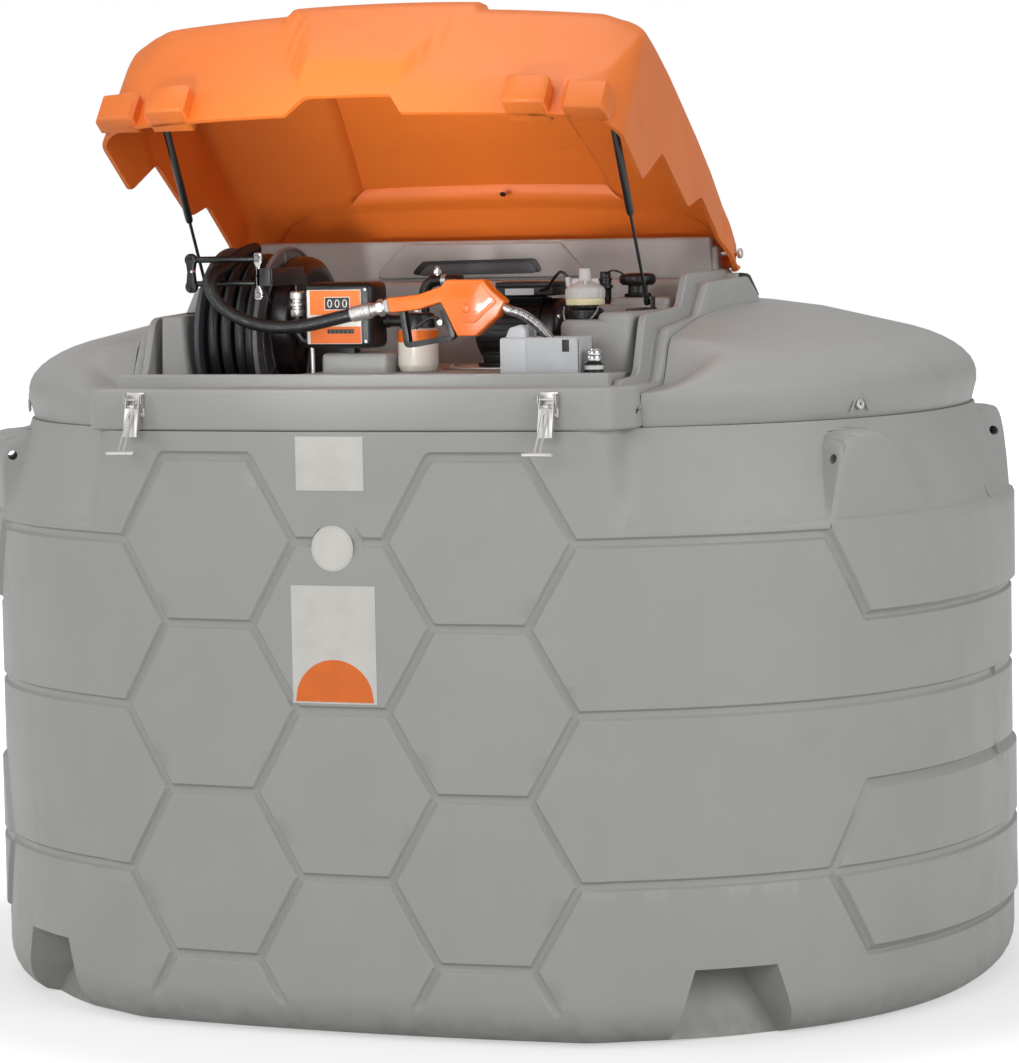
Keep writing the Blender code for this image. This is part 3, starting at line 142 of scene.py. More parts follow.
@dataclass(frozen=True)
class Finish:
    """A plain finish: one colour with a fine surface grain.

    A subclass adds what its maker's process leaves on the surface.
    """

    name: str
    colour: str
    roughness: float
    metallic: float = 0.0
    ior: float = 1.5
    grain_mm: float = 1.2
    grain_depth_mm: float = 0.03
    tint_shift: float = 0.04
    coat: float = 0.0

    def material(self) -> bpy.types.Material:
        """Make the material, or give the one already made."""
        known = bpy.data.materials.get(self.name)
        if known is not None:
            return known
        material, tree, shader = new_material(self.name)
        shader.inputs["Metallic"].default_value = self.metallic
        shader.inputs["IOR"].default_value = self.ior
        shader.inputs["Coat Weight"].default_value = self.coat
        self.dress(tree, shader)
        return material

    def place(self, tree: bpy.types.NodeTree) -> bpy.types.NodeSocket:
        """Give the coordinate that patterns follow, in metres of the object."""
        return add_node(tree, "TexCoord").outputs["Object"]

    def noise(self, tree: bpy.types.NodeTree, size_mm: float, detail: float = 2.0) -> bpy.types.NodeSocket:
        """Add noise whose blobs are about a size in millimetres."""
        return add_node(tree, "TexNoise", {"Scale": 1 / (size_mm * MM), "Detail": detail},
            {"Vector": self.place(tree)}).outputs["Fac"]

    def dress(self, tree: bpy.types.NodeTree, shader: bpy.types.Node) -> None:
        """Wire the colour, roughness and bump into the shader.

        Args:
            tree: Node tree of the material.
            shader: Its Principled shader.
        """
        base = linear(self.colour)
        shift = self.tint_shift
        dark = tuple(c * (1 - shift) for c in base[:3]) + (1.0,)
        light = tuple(min(1.0, c * (1 + shift)) for c in base[:3]) + (1.0,)
        cloud = ramp(tree, self.noise(tree, 60.0), [(0.35, 0.0), (0.65, 1.0)])
        colour = add_node(tree, "Mix", {"data_type": "RGBA", 6: dark, 7: light}, {0: cloud}).outputs[2]
        tree.links.new(colour, shader.inputs["Base Color"])
        rough = add_node(tree, "MapRange", {"To Min": self.roughness * 0.9, "To Max": self.roughness * 1.1},
            {"Value": self.noise(tree, 25.0)}).outputs[0]
        tree.links.new(rough, shader.inputs["Roughness"])
        grain = self.noise(tree, self.grain_mm)
        bump = add_node(tree, "Bump", {"Strength": 0.6, "Distance": self.grain_depth_mm * MM},
            {"Height": grain}).outputs[0]
        tree.links.new(bump, shader.inputs["Normal"])


@dataclass(frozen=True)
class RotomouldedPolyethylene(Finish):
    """Polyethylene powder melted in a turning mould: waxy, slightly wavy, with fine pits and a dull gloss."""

    speck: str = "#8E8E8C"
    # Colour that the skin turns towards at the bottom, and the height where that fades out.
    bottom_colour: str = "#7A756C"
    bottom_darkening_height: float = 0.1
    scuff: float = 0.5

    def dress(self, tree: bpy.types.NodeTree, shader: bpy.types.Node) -> None:
        """Wire cloudiness, specks, a patchy darkening towards the bottom, scuffs and the mould's grain into
        the shader.

        Args:
            tree: Node tree of the material.
            shader: Its Principled shader.
        """
        base = linear(self.colour)
        where = self.place(tree)
        cloud = ramp(tree, self.noise(tree, 180.0, 3.0), [(0.3, 0.0), (0.7, 1.0)])
        dark = tuple(c * 0.97 for c in base[:3]) + (1.0,)
        light = tuple(min(1.0, c * 1.02) for c in base[:3]) + (1.0,)
        colour = add_node(tree, "Mix", {"data_type": "RGBA", 6: dark, 7: light}, {0: cloud}).outputs[2]
        specks = ramp(tree, self.noise(tree, 2.2, 1.0), [(0.66, 0.0), (0.74, 0.55)])
        colour = add_node(tree, "Mix", {"data_type": "RGBA", 7: linear(self.speck)},
            {0: specks, 6: colour}).outputs[2]
        # The colour turns patchily darker and grey-brown towards the bottom, fading out at the given height.
        height = add_node(tree, "SeparateXYZ", links={0: where}).outputs[2]
        low = add_node(tree, "MapRange", {"From Min": 0.0, "From Max": self.bottom_darkening_height, "To Min": 0.55,
            "To Max": 0.0}, {"Value": height}).outputs[0]
        patchy = add_node(tree, "Math", {"operation": "MULTIPLY"}, {0: low, 1: ramp(tree,
            self.noise(tree, 45.0, 5.0), [(0.35, 0.2), (0.65, 1.0)])}).outputs[0]
        colour = add_node(tree, "Mix", {"data_type": "RGBA", 7: linear(self.bottom_colour)},
            {0: patchy, 6: colour}).outputs[2]
        tree.links.new(colour, shader.inputs["Base Color"])
        scuffs = ramp(tree, add_node(tree, "TexNoise", {"Scale": 14.0, "Detail": 6.0, "Distortion": 0.6},
            {"Vector": add_node(tree, "Mapping", {"Scale": (1.0, 1.0, 0.35)},
            {"Vector": where}).outputs[0]}).outputs["Fac"], [(0.45, 0.0), (0.62, 1.0)])
        rough = add_node(tree, "MapRange", {"To Min": self.roughness, "To Max": self.roughness + 0.12
            * self.scuff}, {"Value": scuffs}).outputs[0]
        tree.links.new(rough, shader.inputs["Roughness"])
        wave = add_node(tree, "Bump", {"Strength": 0.5, "Distance": 0.9 * MM},
            {"Height": self.noise(tree, 55.0)}).outputs[0]
        peel = add_node(tree, "Bump", {"Strength": 0.5, "Distance": self.grain_depth_mm * MM},
            {"Height": self.noise(tree, self.grain_mm, 3.0), "Normal": wave}).outputs[0]
        tree.links.new(peel, shader.inputs["Normal"])


# Waxy grey skin: faint clouds, fine dark specks and a soft peel that breaks the highlights. The
# real powder grain is near 0.5 mm; it is drawn at 3 mm so that it shows.
TANK_POLYETHYLENE = RotomouldedPolyethylene("rotomoulded_grey_polyethylene", "#A4A4A2", 0.5, grain_mm=3.0,
    grain_depth_mm=0.16, ior=1.51)
# The same skin in orange, a little glossier, so that the crown takes a broad soft light.
LID_POLYETHYLENE = RotomouldedPolyethylene("rotomoulded_orange_polyethylene", "#E5762A", 0.42, grain_mm=3.0,
    grain_depth_mm=0.12, ior=1.51, speck="#D9722A", bottom_darkening_height=0.01)
# Injection-moulded nylon: deep black with a dull sheen along its edges.
BLACK_NYLON = Finish("moulded_black_nylon", "#0F0F10", 0.38)
# Dark grey nylon of the drum and the counter's wheels, duller than the black.
DARK_NYLON = Finish("moulded_dark_grey_nylon", "#4B4F54", 0.45)
# Pale grey ABS of the nozzle's holder, smooth and slightly cool.
PALE_ABS = Finish("moulded_pale_grey_plastic", "#BEC0C3", 0.4)
# White ABS, warm and smooth, with soft highlights.
WHITE_ABS = Finish("moulded_white_plastic", "#D9D7D1", 0.35)
# Powder coat on steel: fine orange peel that spreads each highlight.
BLACK_POWDER = Finish("black_powder_coat", "#17171A", 0.33, grain_mm=0.8, grain_depth_mm=0.05)
# Enamelled aluminium: bright colour under a clear, sharp gloss.
ORANGE_ENAMEL = Finish("orange_enamel", "#E96F1C", 0.22, coat=0.4, grain_depth_mm=0.01)
# Extruded rubber: dull black with a faint grey sheen on its ribs.
HOSE_RUBBER = Finish("extruded_hose_rubber", "#161617", 0.42, grain_mm=1.0, grain_depth_mm=0.05)
# Bright zinc on pressed steel: grey metal with slightly blurred reflections.
ZINC_PLATE = Finish("zinc_plated_steel", "#A5A39D", 0.32, metallic=1.0, grain_mm=1.0)
# Polished chrome: near mirror, so that it shows dark and light bands.
CHROME = Finish("polished_chrome", "#C4C4C4", 0.16, metallic=1.0, grain_depth_mm=0.005)
# Mid grey nylon of the reel's inner flange.
REEL_GREY = Finish("moulded_mid_grey_nylon", "#6F6E70", 0.42)
# Polished nylon of the spring case: dark with a clear highlight.
SPRING_BLACK = Finish("glossy_black_nylon", "#1A1012", 0.25)
# Enamelled iron casting: black with a coarse grain under the gloss.
BLACK_ENAMEL = Finish("black_enamelled_casting", "#0D0C0D", 0.34, grain_mm=1.6, grain_depth_mm=0.1)
# Enamelled steel can: warm white with a thin clear coat.
WHITE_ENAMEL = Finish("white_enamelled_can", "#E4DDD2", 0.3, coat=0.2)
# Orange ink on film: flat colour with a dull gloss.
ORANGE_PRINT = Finish("orange_printed_film", "#E56E1C", 0.38)
# White film: flat and slightly grey.
WHITE_FILM = Finish("white_printed_film", "#D2D0CA", 0.4)
# Anodised aluminium plate: pale metal with blurred reflections.
PLATE_GREY = Finish("anodised_plain_plate", "#B9BABC", 0.36, metallic=0.6)
# Aged nylon ring under the filler's cap: yellowed white.
CREAM_NYLON = Finish("yellowed_nylon", "#D9CFA6", 0.4)
# Polypropylene of the filler's cap: milky, between white and grey.
MILKY_PLASTIC = Finish("milky_polypropylene", "#BCBAB7", 0.34)

# Nodes by their finish; a star stands for left and right.
FINISHED_NODES: dict[Finish, str] = {
    TANK_POLYETHYLENE: "outer_tank inner_tank inner_tank_top top_cover",
    LID_POLYETHYLENE: "lid",
    ZINC_PLATE: "hinge_bolt_* latch_base_* latch_lever_* latch_hook_* hose_ferrule hose_swivel "
        "nozzle_trigger pump_base_plate elbow_plug valve_fitting",
    CHROME: "strut_rod_* guide_end_plate nozzle_spout",
    BLACK_POWDER: "strut_cylinder_* strut_foot_* strut_bracket_* reel_frame hose_guide",
    DARK_NYLON: "reel_drum",
    HOSE_RUBBER: "hose_winding delivery_hose",
    BLACK_NYLON: "spring_case nozzle_guard meter_case filter_head pump_motor motor_terminal_box "
        "pump_head suction_elbow filler_collar level_gauge manhole_cap",
    ORANGE_ENAMEL: "nozzle_body",
    PALE_ABS: "nozzle_holder",
    WHITE_ABS: "meter_face filter_can filler_cap",
}


# Stage

@dataclass
class Studio:
    """Camera at the photograph's place, a pale floor and soft light."""

    eye: tuple[float, float, float] = (3.43, -9.16, 1.83)
    yaw_deg: float = 20.71
    pitch_deg: float = 4.68
    roll_deg: float = -1.1
    focal_mm: float = 135.47

    def camera(self) -> None:
        """Create the camera with its turn worked out from yaw, pitch and roll."""
        yaw, pitch, roll = (math.radians(a) for a in (self.yaw_deg, self.pitch_deg, self.roll_deg))
        ahead = Vector((-math.sin(yaw) * math.cos(pitch), math.cos(yaw) * math.cos(pitch), -math.sin(pitch)))
        right = Vector((math.cos(yaw), math.sin(yaw), 0.0))
        up = right.cross(ahead)
        right, up = right * math.cos(roll) + up * math.sin(roll), up * math.cos(roll) - right * math.sin(roll)
        data = bpy.data.cameras.new("photo_camera")
        data.lens = self.focal_mm
        data.sensor_width = 36.0
        data.sensor_fit = "AUTO"
        data.clip_end = 100.0
        camera = bpy.data.objects.new("photo_camera", data)
        turn = Matrix((right, up, -ahead)).transposed().to_4x4()
        camera.matrix_world = Matrix.Translation(self.eye) @ turn
        bpy.context.scene.collection.objects.link(camera)
        bpy.context.scene.camera = camera

    def lamp(self, name: str, where: Sequence[float], target: Sequence[float], size: float, power: float,
            spread_deg: float = 180.0) -> None:
        """Place a soft square lamp that looks at a point.

        Args:
            name: Name of the lamp.
            where: Its place.
            target: Point that it looks at.
            size: Length of its side in metres.
            power: Watts.
            spread_deg: Angle that its light keeps within.
        """
        data = bpy.data.lights.new(name, "AREA")
        data.shape = "SQUARE"
        data.size = size
        data.energy = power
        data.spread = math.radians(spread_deg)
        lamp = bpy.data.objects.new(name, data)
        lamp.location = where
        aim = Vector(target) - Vector(where)
        lamp.rotation_euler = aim.to_track_quat("-Z", "Y").to_euler()
        bpy.context.scene.collection.objects.link(lamp)

    def world(self) -> None:
        """Set a white sky for the camera and a softer one for the light."""
        world = bpy.data.worlds.new("studio")
        bpy.context.scene.world = world
        world.use_nodes = True
        tree = world.node_tree
        tree.nodes.clear()
        path = add_node(tree, "LightPath")
        seen = add_node(tree, "Math", {"operation": "MAXIMUM"}, {0: path.outputs["Is Camera Ray"],
            1: path.outputs["Is Transmission Ray"]}).outputs[0]
        soft = add_node(tree, "Background", {"Color": linear("#FFFFFF"), "Strength": 0.4})
        white = add_node(tree, "Background", {"Color": linear("#FFFFFF"), "Strength": 1.0})
        mixed = add_node(tree, "MixShader", links={0: seen, 1: soft.outputs[0], 2: white.outputs[0]})
        add_node(tree, "OutputWorld", links={0: mixed.outputs[0]})

    def floor(self) -> None:
        """Lay a white floor that keeps the object's shadow."""
        bm = bmesh.new()
        bmesh.ops.create_grid(bm, x_segments=1, y_segments=1, size=30.0)
        mesh = bpy.data.meshes.new("floor")
        bm.to_mesh(mesh)
        bm.free()
        floor = bpy.data.objects.new("floor", mesh)
        floor.location = (0.0, 0.0, -0.001)
        bpy.context.scene.collection.objects.link(floor)
        material, tree, shader = new_material("studio_floor")
        shader.inputs["Base Color"].default_value = linear("#B9B9B8")
        shader.inputs["Roughness"].default_value = 0.9
        path = add_node(tree, "LightPath")
        seen = add_node(tree, "Math", {"operation": "MAXIMUM"}, {0: path.outputs["Is Camera Ray"],
            1: path.outputs["Is Transmission Ray"]}).outputs[0]
        seen = add_node(tree, "Math", {"operation": "MAXIMUM"},
            {0: seen, 1: path.outputs["Is Glossy Ray"]}).outputs[0]
        place = add_node(tree, "TexCoord").outputs["Object"]
        reach = add_node(tree, "VectorMath", {"operation": "LENGTH"}, {0: place}).outputs["Value"]
        far = add_node(tree, "MapRange", {"From Min": 1.45, "From Max": 2.1, "To Min": 0.0, "To Max": 1.0,
            "interpolation_type": "SMOOTHSTEP"}, {"Value": reach}).outputs[0]
        lift = add_node(tree, "MapRange", {"From Min": 0.0, "From Max": 1.0, "To Min": 0.52, "To Max": 1.0},
            {"Value": far}).outputs[0]
        glow = add_node(tree, "Math", {"operation": "MULTIPLY"}, {0: seen, 1: lift}).outputs[0]
        shader.inputs["Emission Color"].default_value = linear("#FFFFFF")
        tree.links.new(glow, shader.inputs["Emission Strength"])
        mesh.materials.append(material)

    def build(self) -> None:
        """Set the stage."""
        settings = bpy.context.scene.view_settings
        settings.view_transform = "Standard"
        self.camera()
        self.world()
        self.floor()
        self.lamp("front", (-0.6, -8.0, 3.2), (0.0, 0.0, 1.5), 3.0, 118.0)
        self.lamp("key", (-6.0, -4.5, 4.6), (0.0, 0.0, 1.0), 3.5, 130.0)
        self.lamp("fill", (6.5, -3.5, 3.5), (0.0, 0.0, 1.0), 4.0, 170.0)
        self.lamp("top", (0.0, -0.5, 6.0), (0.0, 0.0, 1.0), 4.0, 85.0)
        self.lamp("bounce", (0.0, -3.2, 1.44), (0.0, -0.7, 2.03), 0.24, 2.2, 31.0)


# Shapes

class Axis(Enum):
    """Direction that a turned or extruded shape follows."""

    X = "X"
    Y = "Y"
    Z = "Z"


class Cut(Enum):
    """What a boolean does to its target."""

    UNION = "UNION"
    DIFFERENCE = "DIFFERENCE"


AXIS_TURNS = {Axis.X: Matrix(((0, 0, 1, 0), (1, 0, 0, 0), (0, 1, 0, 0), (0, 0, 0, 1))),
    Axis.Y: Matrix(((1, 0, 0, 0), (0, 0, -1, 0), (0, 1, 0, 0), (0, 0, 0, 1))), Axis.Z: Matrix.Identity(4)}


def aimed(where: Sequence[float], along: Vector) -> Matrix:
    """Give the placement that stands a shape's +Z along a direction."""
    return Matrix.Translation(where) @ Vector((0, 0, 1)).rotation_difference(along).to_matrix().to_4x4()


def spun(where: Sequence[float], degrees: float, axis: Axis) -> Matrix:
    """Give the placement at a place, turned about an axis."""
    return Matrix.Translation(where) @ Matrix.Rotation(math.radians(degrees), 4, axis.value)


def smooth_step(low: float, high: float, value: float) -> float:
    """Give 0 below low, 1 above high and a smooth rise between them."""
    t = min(max((value - low) / (high - low), 0.0), 1.0)
    return t * t * (3 - 2 * t)


def filleted(points: Sequence[Sequence[float]], radius: float, steps: int = 5,
        closed: bool = False) -> list[tuple[float, float]]:
    """Round the corners of a polyline.

    Args:
        points: Corners in the plane.
        radius: Largest rounding radius.
        steps: Points on each rounded corner.
        closed: Whether the last corner joins the first.

    Returns:
        The rounded line's points.
    """
    corners = [Vector(p) for p in points]
    made: list[tuple[float, float]] = [] if closed else [tuple(corners[0])]
    span = range(len(corners)) if closed else range(1, len(corners) - 1)
    for i in span:
        before, here, after = corners[i - 1], corners[i], corners[(i + 1) % len(corners)]
        back, ahead = before - here, after - here
        angle = back.angle(ahead) if back.length and ahead.length else math.pi
        reach = min(radius / max(math.tan(angle / 2), 1e-4), back.length * 0.49, ahead.length * 0.49)
        start, end = here + back.normalized() * reach, here + ahead.normalized() * reach
        for k in range(steps + 1):
            t = k / steps
            spot = start * (1 - t) ** 2 + here * 2 * t * (1 - t) + end * t * t
            made.append((spot.x, spot.y))
    if not closed:
        made.append(tuple(corners[-1]))
    return made


def smooth_route(points: Sequence[Sequence[float]], count: int) -> list[Vector]:
    """Give points at even steps along a smooth curve through the given ones.

    Args:
        points: Points that the curve passes.
        count: Number of points wanted.

    Returns:
        The points along the curve.
    """
    dense: list[Vector] = []
    padded = [2 * Vector(points[0]) - Vector(points[1])] + [Vector(p) for p in points]
    padded.append(2 * Vector(points[-1]) - Vector(points[-2]))
    for a, b, c, d in zip(padded, padded[1:], padded[2:], padded[3:]):
        for k in range(12):
            t = k / 12
            dense.append(0.5 * (2 * b + (c - a) * t + (2 * a - 5 * b + 4 * c - d) * t ** 2
                + (3 * b - a - 3 * c + d) * t ** 3))
    dense.append(padded[-2])
    length = [0.0]
    for a, b in zip(dense, dense[1:]):
        length.append(length[-1] + (b - a).length)
    route = []
    i = 0
    for k in range(count):
        want = length[-1] * k / (count - 1)
        while i < len(dense) - 2 and length[i + 1] < want:
            i += 1
        t = (want - length[i]) / (length[i + 1] - length[i])
        route.append(dense[i].lerp(dense[i + 1], t))
    return route


class Shaper:
    """Gathers shapes into one mesh, each with its finish, and makes the piece."""

    def __init__(self, name: str, body: str = "tank") -> None:
        """Start an empty piece that rides on a body."""
        self.name = name
        self.body = body
        self.bm = bmesh.new()
        self.finishes: list[Finish] = []

    def add(self, part: bmesh.types.BMesh, finish: Finish, turn: Matrix | None = None) -> None:
        """Move a part's faces into the piece.

        Args:
            part: Mesh to take over; it is freed.
            finish: Finish of its faces.
            turn: Placement of the part.
        """
        if finish not in self.finishes:
            self.finishes.append(finish)
        if turn is not None:
            bmesh.ops.transform(part, matrix=turn, verts=part.verts)
            if turn.determinant() < 0:
                bmesh.ops.reverse_faces(part, faces=part.faces)
        index = self.finishes.index(finish)
        for face in part.faces:
            face.material_index = index
        mesh = bpy.data.meshes.new("part")
        part.to_mesh(mesh)
        part.free()
        self.bm.from_mesh(mesh)
        bpy.data.meshes.remove(mesh)

    def box(self, low: Sequence[float], high: Sequence[float], finish: Finish, bevel: float = 0.0015,
            segments: int = 3, turn: Matrix | None = None) -> None:
        """Add a box with rounded edges.

        Args:
            low: Lowest corner.
            high: Highest corner.
            finish: Finish of its faces.
            bevel: Radius of its edges.
            segments: Steps across an edge's round.
            turn: Placement of the box.
        """
        low, high = Vector(low), Vector(high)
        bm = bmesh.new()
        bmesh.ops.create_cube(bm, size=1.0)
        bmesh.ops.scale(bm, vec=high - low, verts=bm.verts)
        bmesh.ops.translate(bm, vec=(low + high) / 2, verts=bm.verts)
        bevel = min(bevel, min(high - low) * 0.48)
        if bevel > 0:
            bmesh.ops.bevel(bm, geom=bm.edges[:], offset=bevel, segments=segments, profile=0.5,
                affect="EDGES")
        self.add(bm, finish, turn)

    def rings(self, rings: Sequence[Sequence[Sequence[float]]], finish: Finish, caps: bool = True,
            loop: bool = True, turn: Matrix | None = None) -> None:
        """Add a skin over rings of equal point count.

        Args:
            rings: Rows of points.
            finish: Finish of its faces.
            caps: Whether the first and last ring are closed.
            loop: Whether each ring closes on itself.
            turn: Placement of the skin.
        """
        bm = bmesh.new()
        made = [[bm.verts.new(point) for point in ring] for ring in rings]
        count = len(rings[0])
        for lower, upper in zip(made, made[1:]):
            for i in range(count if loop else count - 1):
                j = (i + 1) % count
                bm.faces.new((lower[i], lower[j], upper[j], upper[i]))
        if caps:
            bm.faces.new(list(reversed(made[0])))
            bm.faces.new(made[-1])
        bmesh.ops.remove_doubles(bm, verts=bm.verts, dist=1e-6)
        if caps:
            bmesh.ops.recalc_face_normals(bm, faces=bm.faces)
        self.add(bm, finish, turn)

    def turned(self, profile: Sequence[tuple[float, float]], centre: Sequence[float], finish: Finish,
            axis: Axis = Axis.Z, sides: int = 40, turn: Matrix | None = None) -> None:
        """Add a turned solid.

        Args:
            profile: Pairs of radius and height along the axis.
            centre: Place of the axis in the plane across it.
            finish: Finish of its faces.
            axis: Direction of the axis.
            sides: Number of sides.
            turn: Placement of the solid.
        """
        rings = []
        for radius, height in profile:
            r = max(radius, 1e-5)
            rings.append([(r * math.cos(2 * math.pi * k / sides), r * math.sin(2 * math.pi * k / sides),
                height) for k in range(sides)])
        where = {Axis.X: (0, centre[0], centre[1]), Axis.Y: (centre[0], 0, centre[1]),
            Axis.Z: (*centre, 0)}[axis]
        matrix = Matrix.Translation(where) @ AXIS_TURNS[axis]
        if axis == Axis.Y:
            matrix = matrix @ Matrix.Scale(-1, 4, (0, 0, 1))
        self.rings(rings, finish, turn=matrix if turn is None else turn @ matrix)

    def prism(self, outline: Sequence[Sequence[float]], low: float, high: float, finish: Finish,
            axis: Axis = Axis.Z, bevel: float = 0.0, segments: int = 3, turn: Matrix | None = None) -> None:
        """Add an extruded outline.

        Args:
            outline: Points in the plane across the axis.
            low: Where it starts along the axis.
            high: Where it ends.
            finish: Finish of its faces.
            axis: Direction of the extrusion.
            bevel: Radius of its rims.
            segments: Steps across a rim's round.
            turn: Placement of the prism.
        """
        bm = bmesh.new()
        bottom = [bm.verts.new((a, b, 0.0)) for a, b in outline]
        face = bm.faces.new(bottom)
        result = bmesh.ops.extrude_face_region(bm, geom=[face])
        top = [item for item in result["geom"] if isinstance(item, bmesh.types.BMVert)]
        bmesh.ops.translate(bm, vec=(0, 0, high - low), verts=top)
        bmesh.ops.recalc_face_normals(bm, faces=bm.faces)
        if bevel > 0:
            rims = [edge for edge in bm.edges if abs(edge.verts[0].co.z - edge.verts[1].co.z) < 1e-7]
            bmesh.ops.bevel(bm, geom=rims, offset=bevel, segments=segments, profile=0.5, affect="EDGES",
                clamp_overlap=True)
        shift = {Axis.X: (low, 0, 0), Axis.Y: (0, high, 0), Axis.Z: (0, 0, low)}[axis]
        matrix = Matrix.Translation(shift) @ AXIS_TURNS[axis]
        bmesh.ops.triangulate(bm, faces=[face for face in bm.faces if len(face.verts) > 4])
        self.add(bm, finish, matrix if turn is None else turn @ matrix)

    def tube(self, points: Sequence[Sequence[float]], radius: float | Callable[[float], float],
            finish: Finish, sides: int = 16, caps: bool = True, turn: Matrix | None = None) -> None:
        """Add a round tube.

        Args:
            points: Points along its middle line.
            radius: Its radius, or a function of the distance along it.
            finish: Finish of its faces.
            sides: Number of sides.
            caps: Whether its ends are closed.
            turn: Placement of the tube.
        """
        path = [Vector(p) for p in points]
        tangents = [(path[min(i + 1, len(path) - 1)] - path[max(i - 1, 0)]).normalized()
            for i in range(len(path))]
        side = tangents[0].orthogonal().normalized()
        rings, along = [], 0.0
        for i, (spot, tangent) in enumerate(zip(path, tangents)):
            if i:
                along += (spot - path[i - 1]).length
            side = (side - tangent * side.dot(tangent)).normalized()
            other = tangent.cross(side)
            r = radius(along) if callable(radius) else radius
            rings.append([spot + (side * math.cos(2 * math.pi * k / sides) + other
                * math.sin(2 * math.pi * k / sides)) * r for k in range(sides)])
        self.rings(rings, finish, caps=caps, turn=turn)

    def bolt(self, where: Sequence[float], facing: Sequence[float], across: float, finish: Finish,
            height: float | None = None) -> None:
        """Add a hexagon bolt head with its washer.

        Args:
            where: Place of the seat.
            facing: Direction that the head faces.
            across: Width across the flats.
            finish: Finish of its faces.
            height: Height of the head.
        """
        h = across * 0.6 if height is None else height
        face = aimed(where, Vector(facing))
        r = across / 2
        washer = [(0, 0), (r * 1.3, 0), (r * 1.3, r * 0.14), (r * 1.2, r * 0.22), (0, r * 0.22)]
        self.turned(washer, (0, 0), finish, sides=20, turn=face)
        head = [(0, r * 0.2), (r * 1.12, r * 0.2), (r * 1.12, h * 0.82), (r * 0.95, h), (0, h)]
        self.turned(head, (0, 0), finish, sides=6, turn=face)

    def finish(self, replaces: Sequence[str] = (), slot: str | None = None, sharp_deg: float = 35.0,
            weighted: bool = False) -> bpy.types.Object:
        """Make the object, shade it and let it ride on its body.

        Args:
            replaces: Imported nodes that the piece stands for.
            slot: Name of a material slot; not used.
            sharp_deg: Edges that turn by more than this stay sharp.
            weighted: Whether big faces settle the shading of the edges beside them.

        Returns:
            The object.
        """
        mesh = bpy.data.meshes.new(self.name)
        self.bm.to_mesh(mesh)
        self.bm.free()
        for finish in self.finishes:
            mesh.materials.append(finish.material())
        made = bpy.data.objects.new(self.name, mesh)
        bpy.context.scene.collection.objects.link(made)
        mesh.shade_smooth()
        mesh.set_sharp_from_angle(angle=math.radians(sharp_deg))
        if weighted:
            change = made.modifiers.new("weighted_normals", "WEIGHTED_NORMAL")
            change.keep_sharp = True
        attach(made, self.body)
        if replaces:
            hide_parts(*replaces)
        LOG.info("%s on %s: %d faces", self.name, self.body, len(mesh.polygons))
        return made


# Outer tank

PLAN_MIDDLE_Y = -0.117
SPLIT_Z = 1.342


@dataclass(frozen=True)
class TankPlan:
    """Plan of the tank: a flattened front and back between rounded sides, from the plan's middle."""

    half_width: float = 1.211
    face_depth: float = 1.033
    side_depth: float = 1.073
    side_power: float = 2.256
    face_bulge: float = 0.107
    face_half: float = 0.545
    corner_half: float = 0.65

    def face(self, x: float) -> float:
        """Give the front face's place at x, from the plan's middle."""
        return -self.face_depth + self.face_bulge * x * x

    def flank(self, x: float) -> float:
        """Give the rounded side's place at x, from the plan's middle."""
        share = max(0.0, 1 - (x / self.half_width) ** self.side_power)
        return -self.side_depth * share ** (1 / self.side_power)

    def face_y(self, x: float) -> float:
        """Give the front face's place at x in the model."""
        return PLAN_MIDDLE_Y + self.face(x)

    def quarter(self, face_steps: int, turn_steps: int, side_steps: int) -> list[Vector]:
        """Give the right front quarter's plan.

        Args:
            face_steps: Steps along the flat front.
            turn_steps: Steps round the corner.
            side_steps: Steps along the side.

        Returns:
            Points from the middle of the front to the middle of the side.
        """
        points = [Vector((x, self.face(x))) for x in [self.face_half * 0.94 * k / face_steps
            for k in range(face_steps + 1)]]
        start, corner = points[-1], Vector((self.face_half + 0.006, self.face(self.face_half)))
        flank = Vector((self.corner_half, self.flank(self.corner_half)))
        turn_end = corner.lerp(flank, 0.35)
        for k in range(1, turn_steps + 1):
            t = k / turn_steps
            points.append(start * (1 - t) ** 2 + corner * 2 * t * (1 - t) + turn_end * t * t)
        points.append(flank)
        start_angle = math.acos((self.corner_half / self.half_width) ** (self.side_power / 2))
        for k in range(1, side_steps + 1):
            angle = start_angle * (1 - k / side_steps)
            x = self.half_width * math.cos(angle) ** (2 / self.side_power)
            y = 0.0 if k == side_steps else -self.side_depth * math.sin(angle) ** (2 / self.side_power)
            points.append(Vector((x, y)))
        return points

    def loop(self, inset: float = 0.0) -> list[Vector]:
        """Give the whole plan in place.

        Args:
            inset: How far it is scaled in at the sides.

        Returns:
            Points anticlockwise from the middle of the front.
        """
        scale = 1 - inset / self.half_width
        quarter = [p * scale for p in self.quarter(12, 6, 30)]
        right = quarter[:-1] + [Vector((p.x, -p.y)) for p in reversed(quarter)][:-1]
        left = [Vector((-p.x, -p.y)) for p in right]
        return [Vector((p.x, p.y + PLAN_MIDDLE_Y)) for p in right + left]


PLAN = TankPlan()


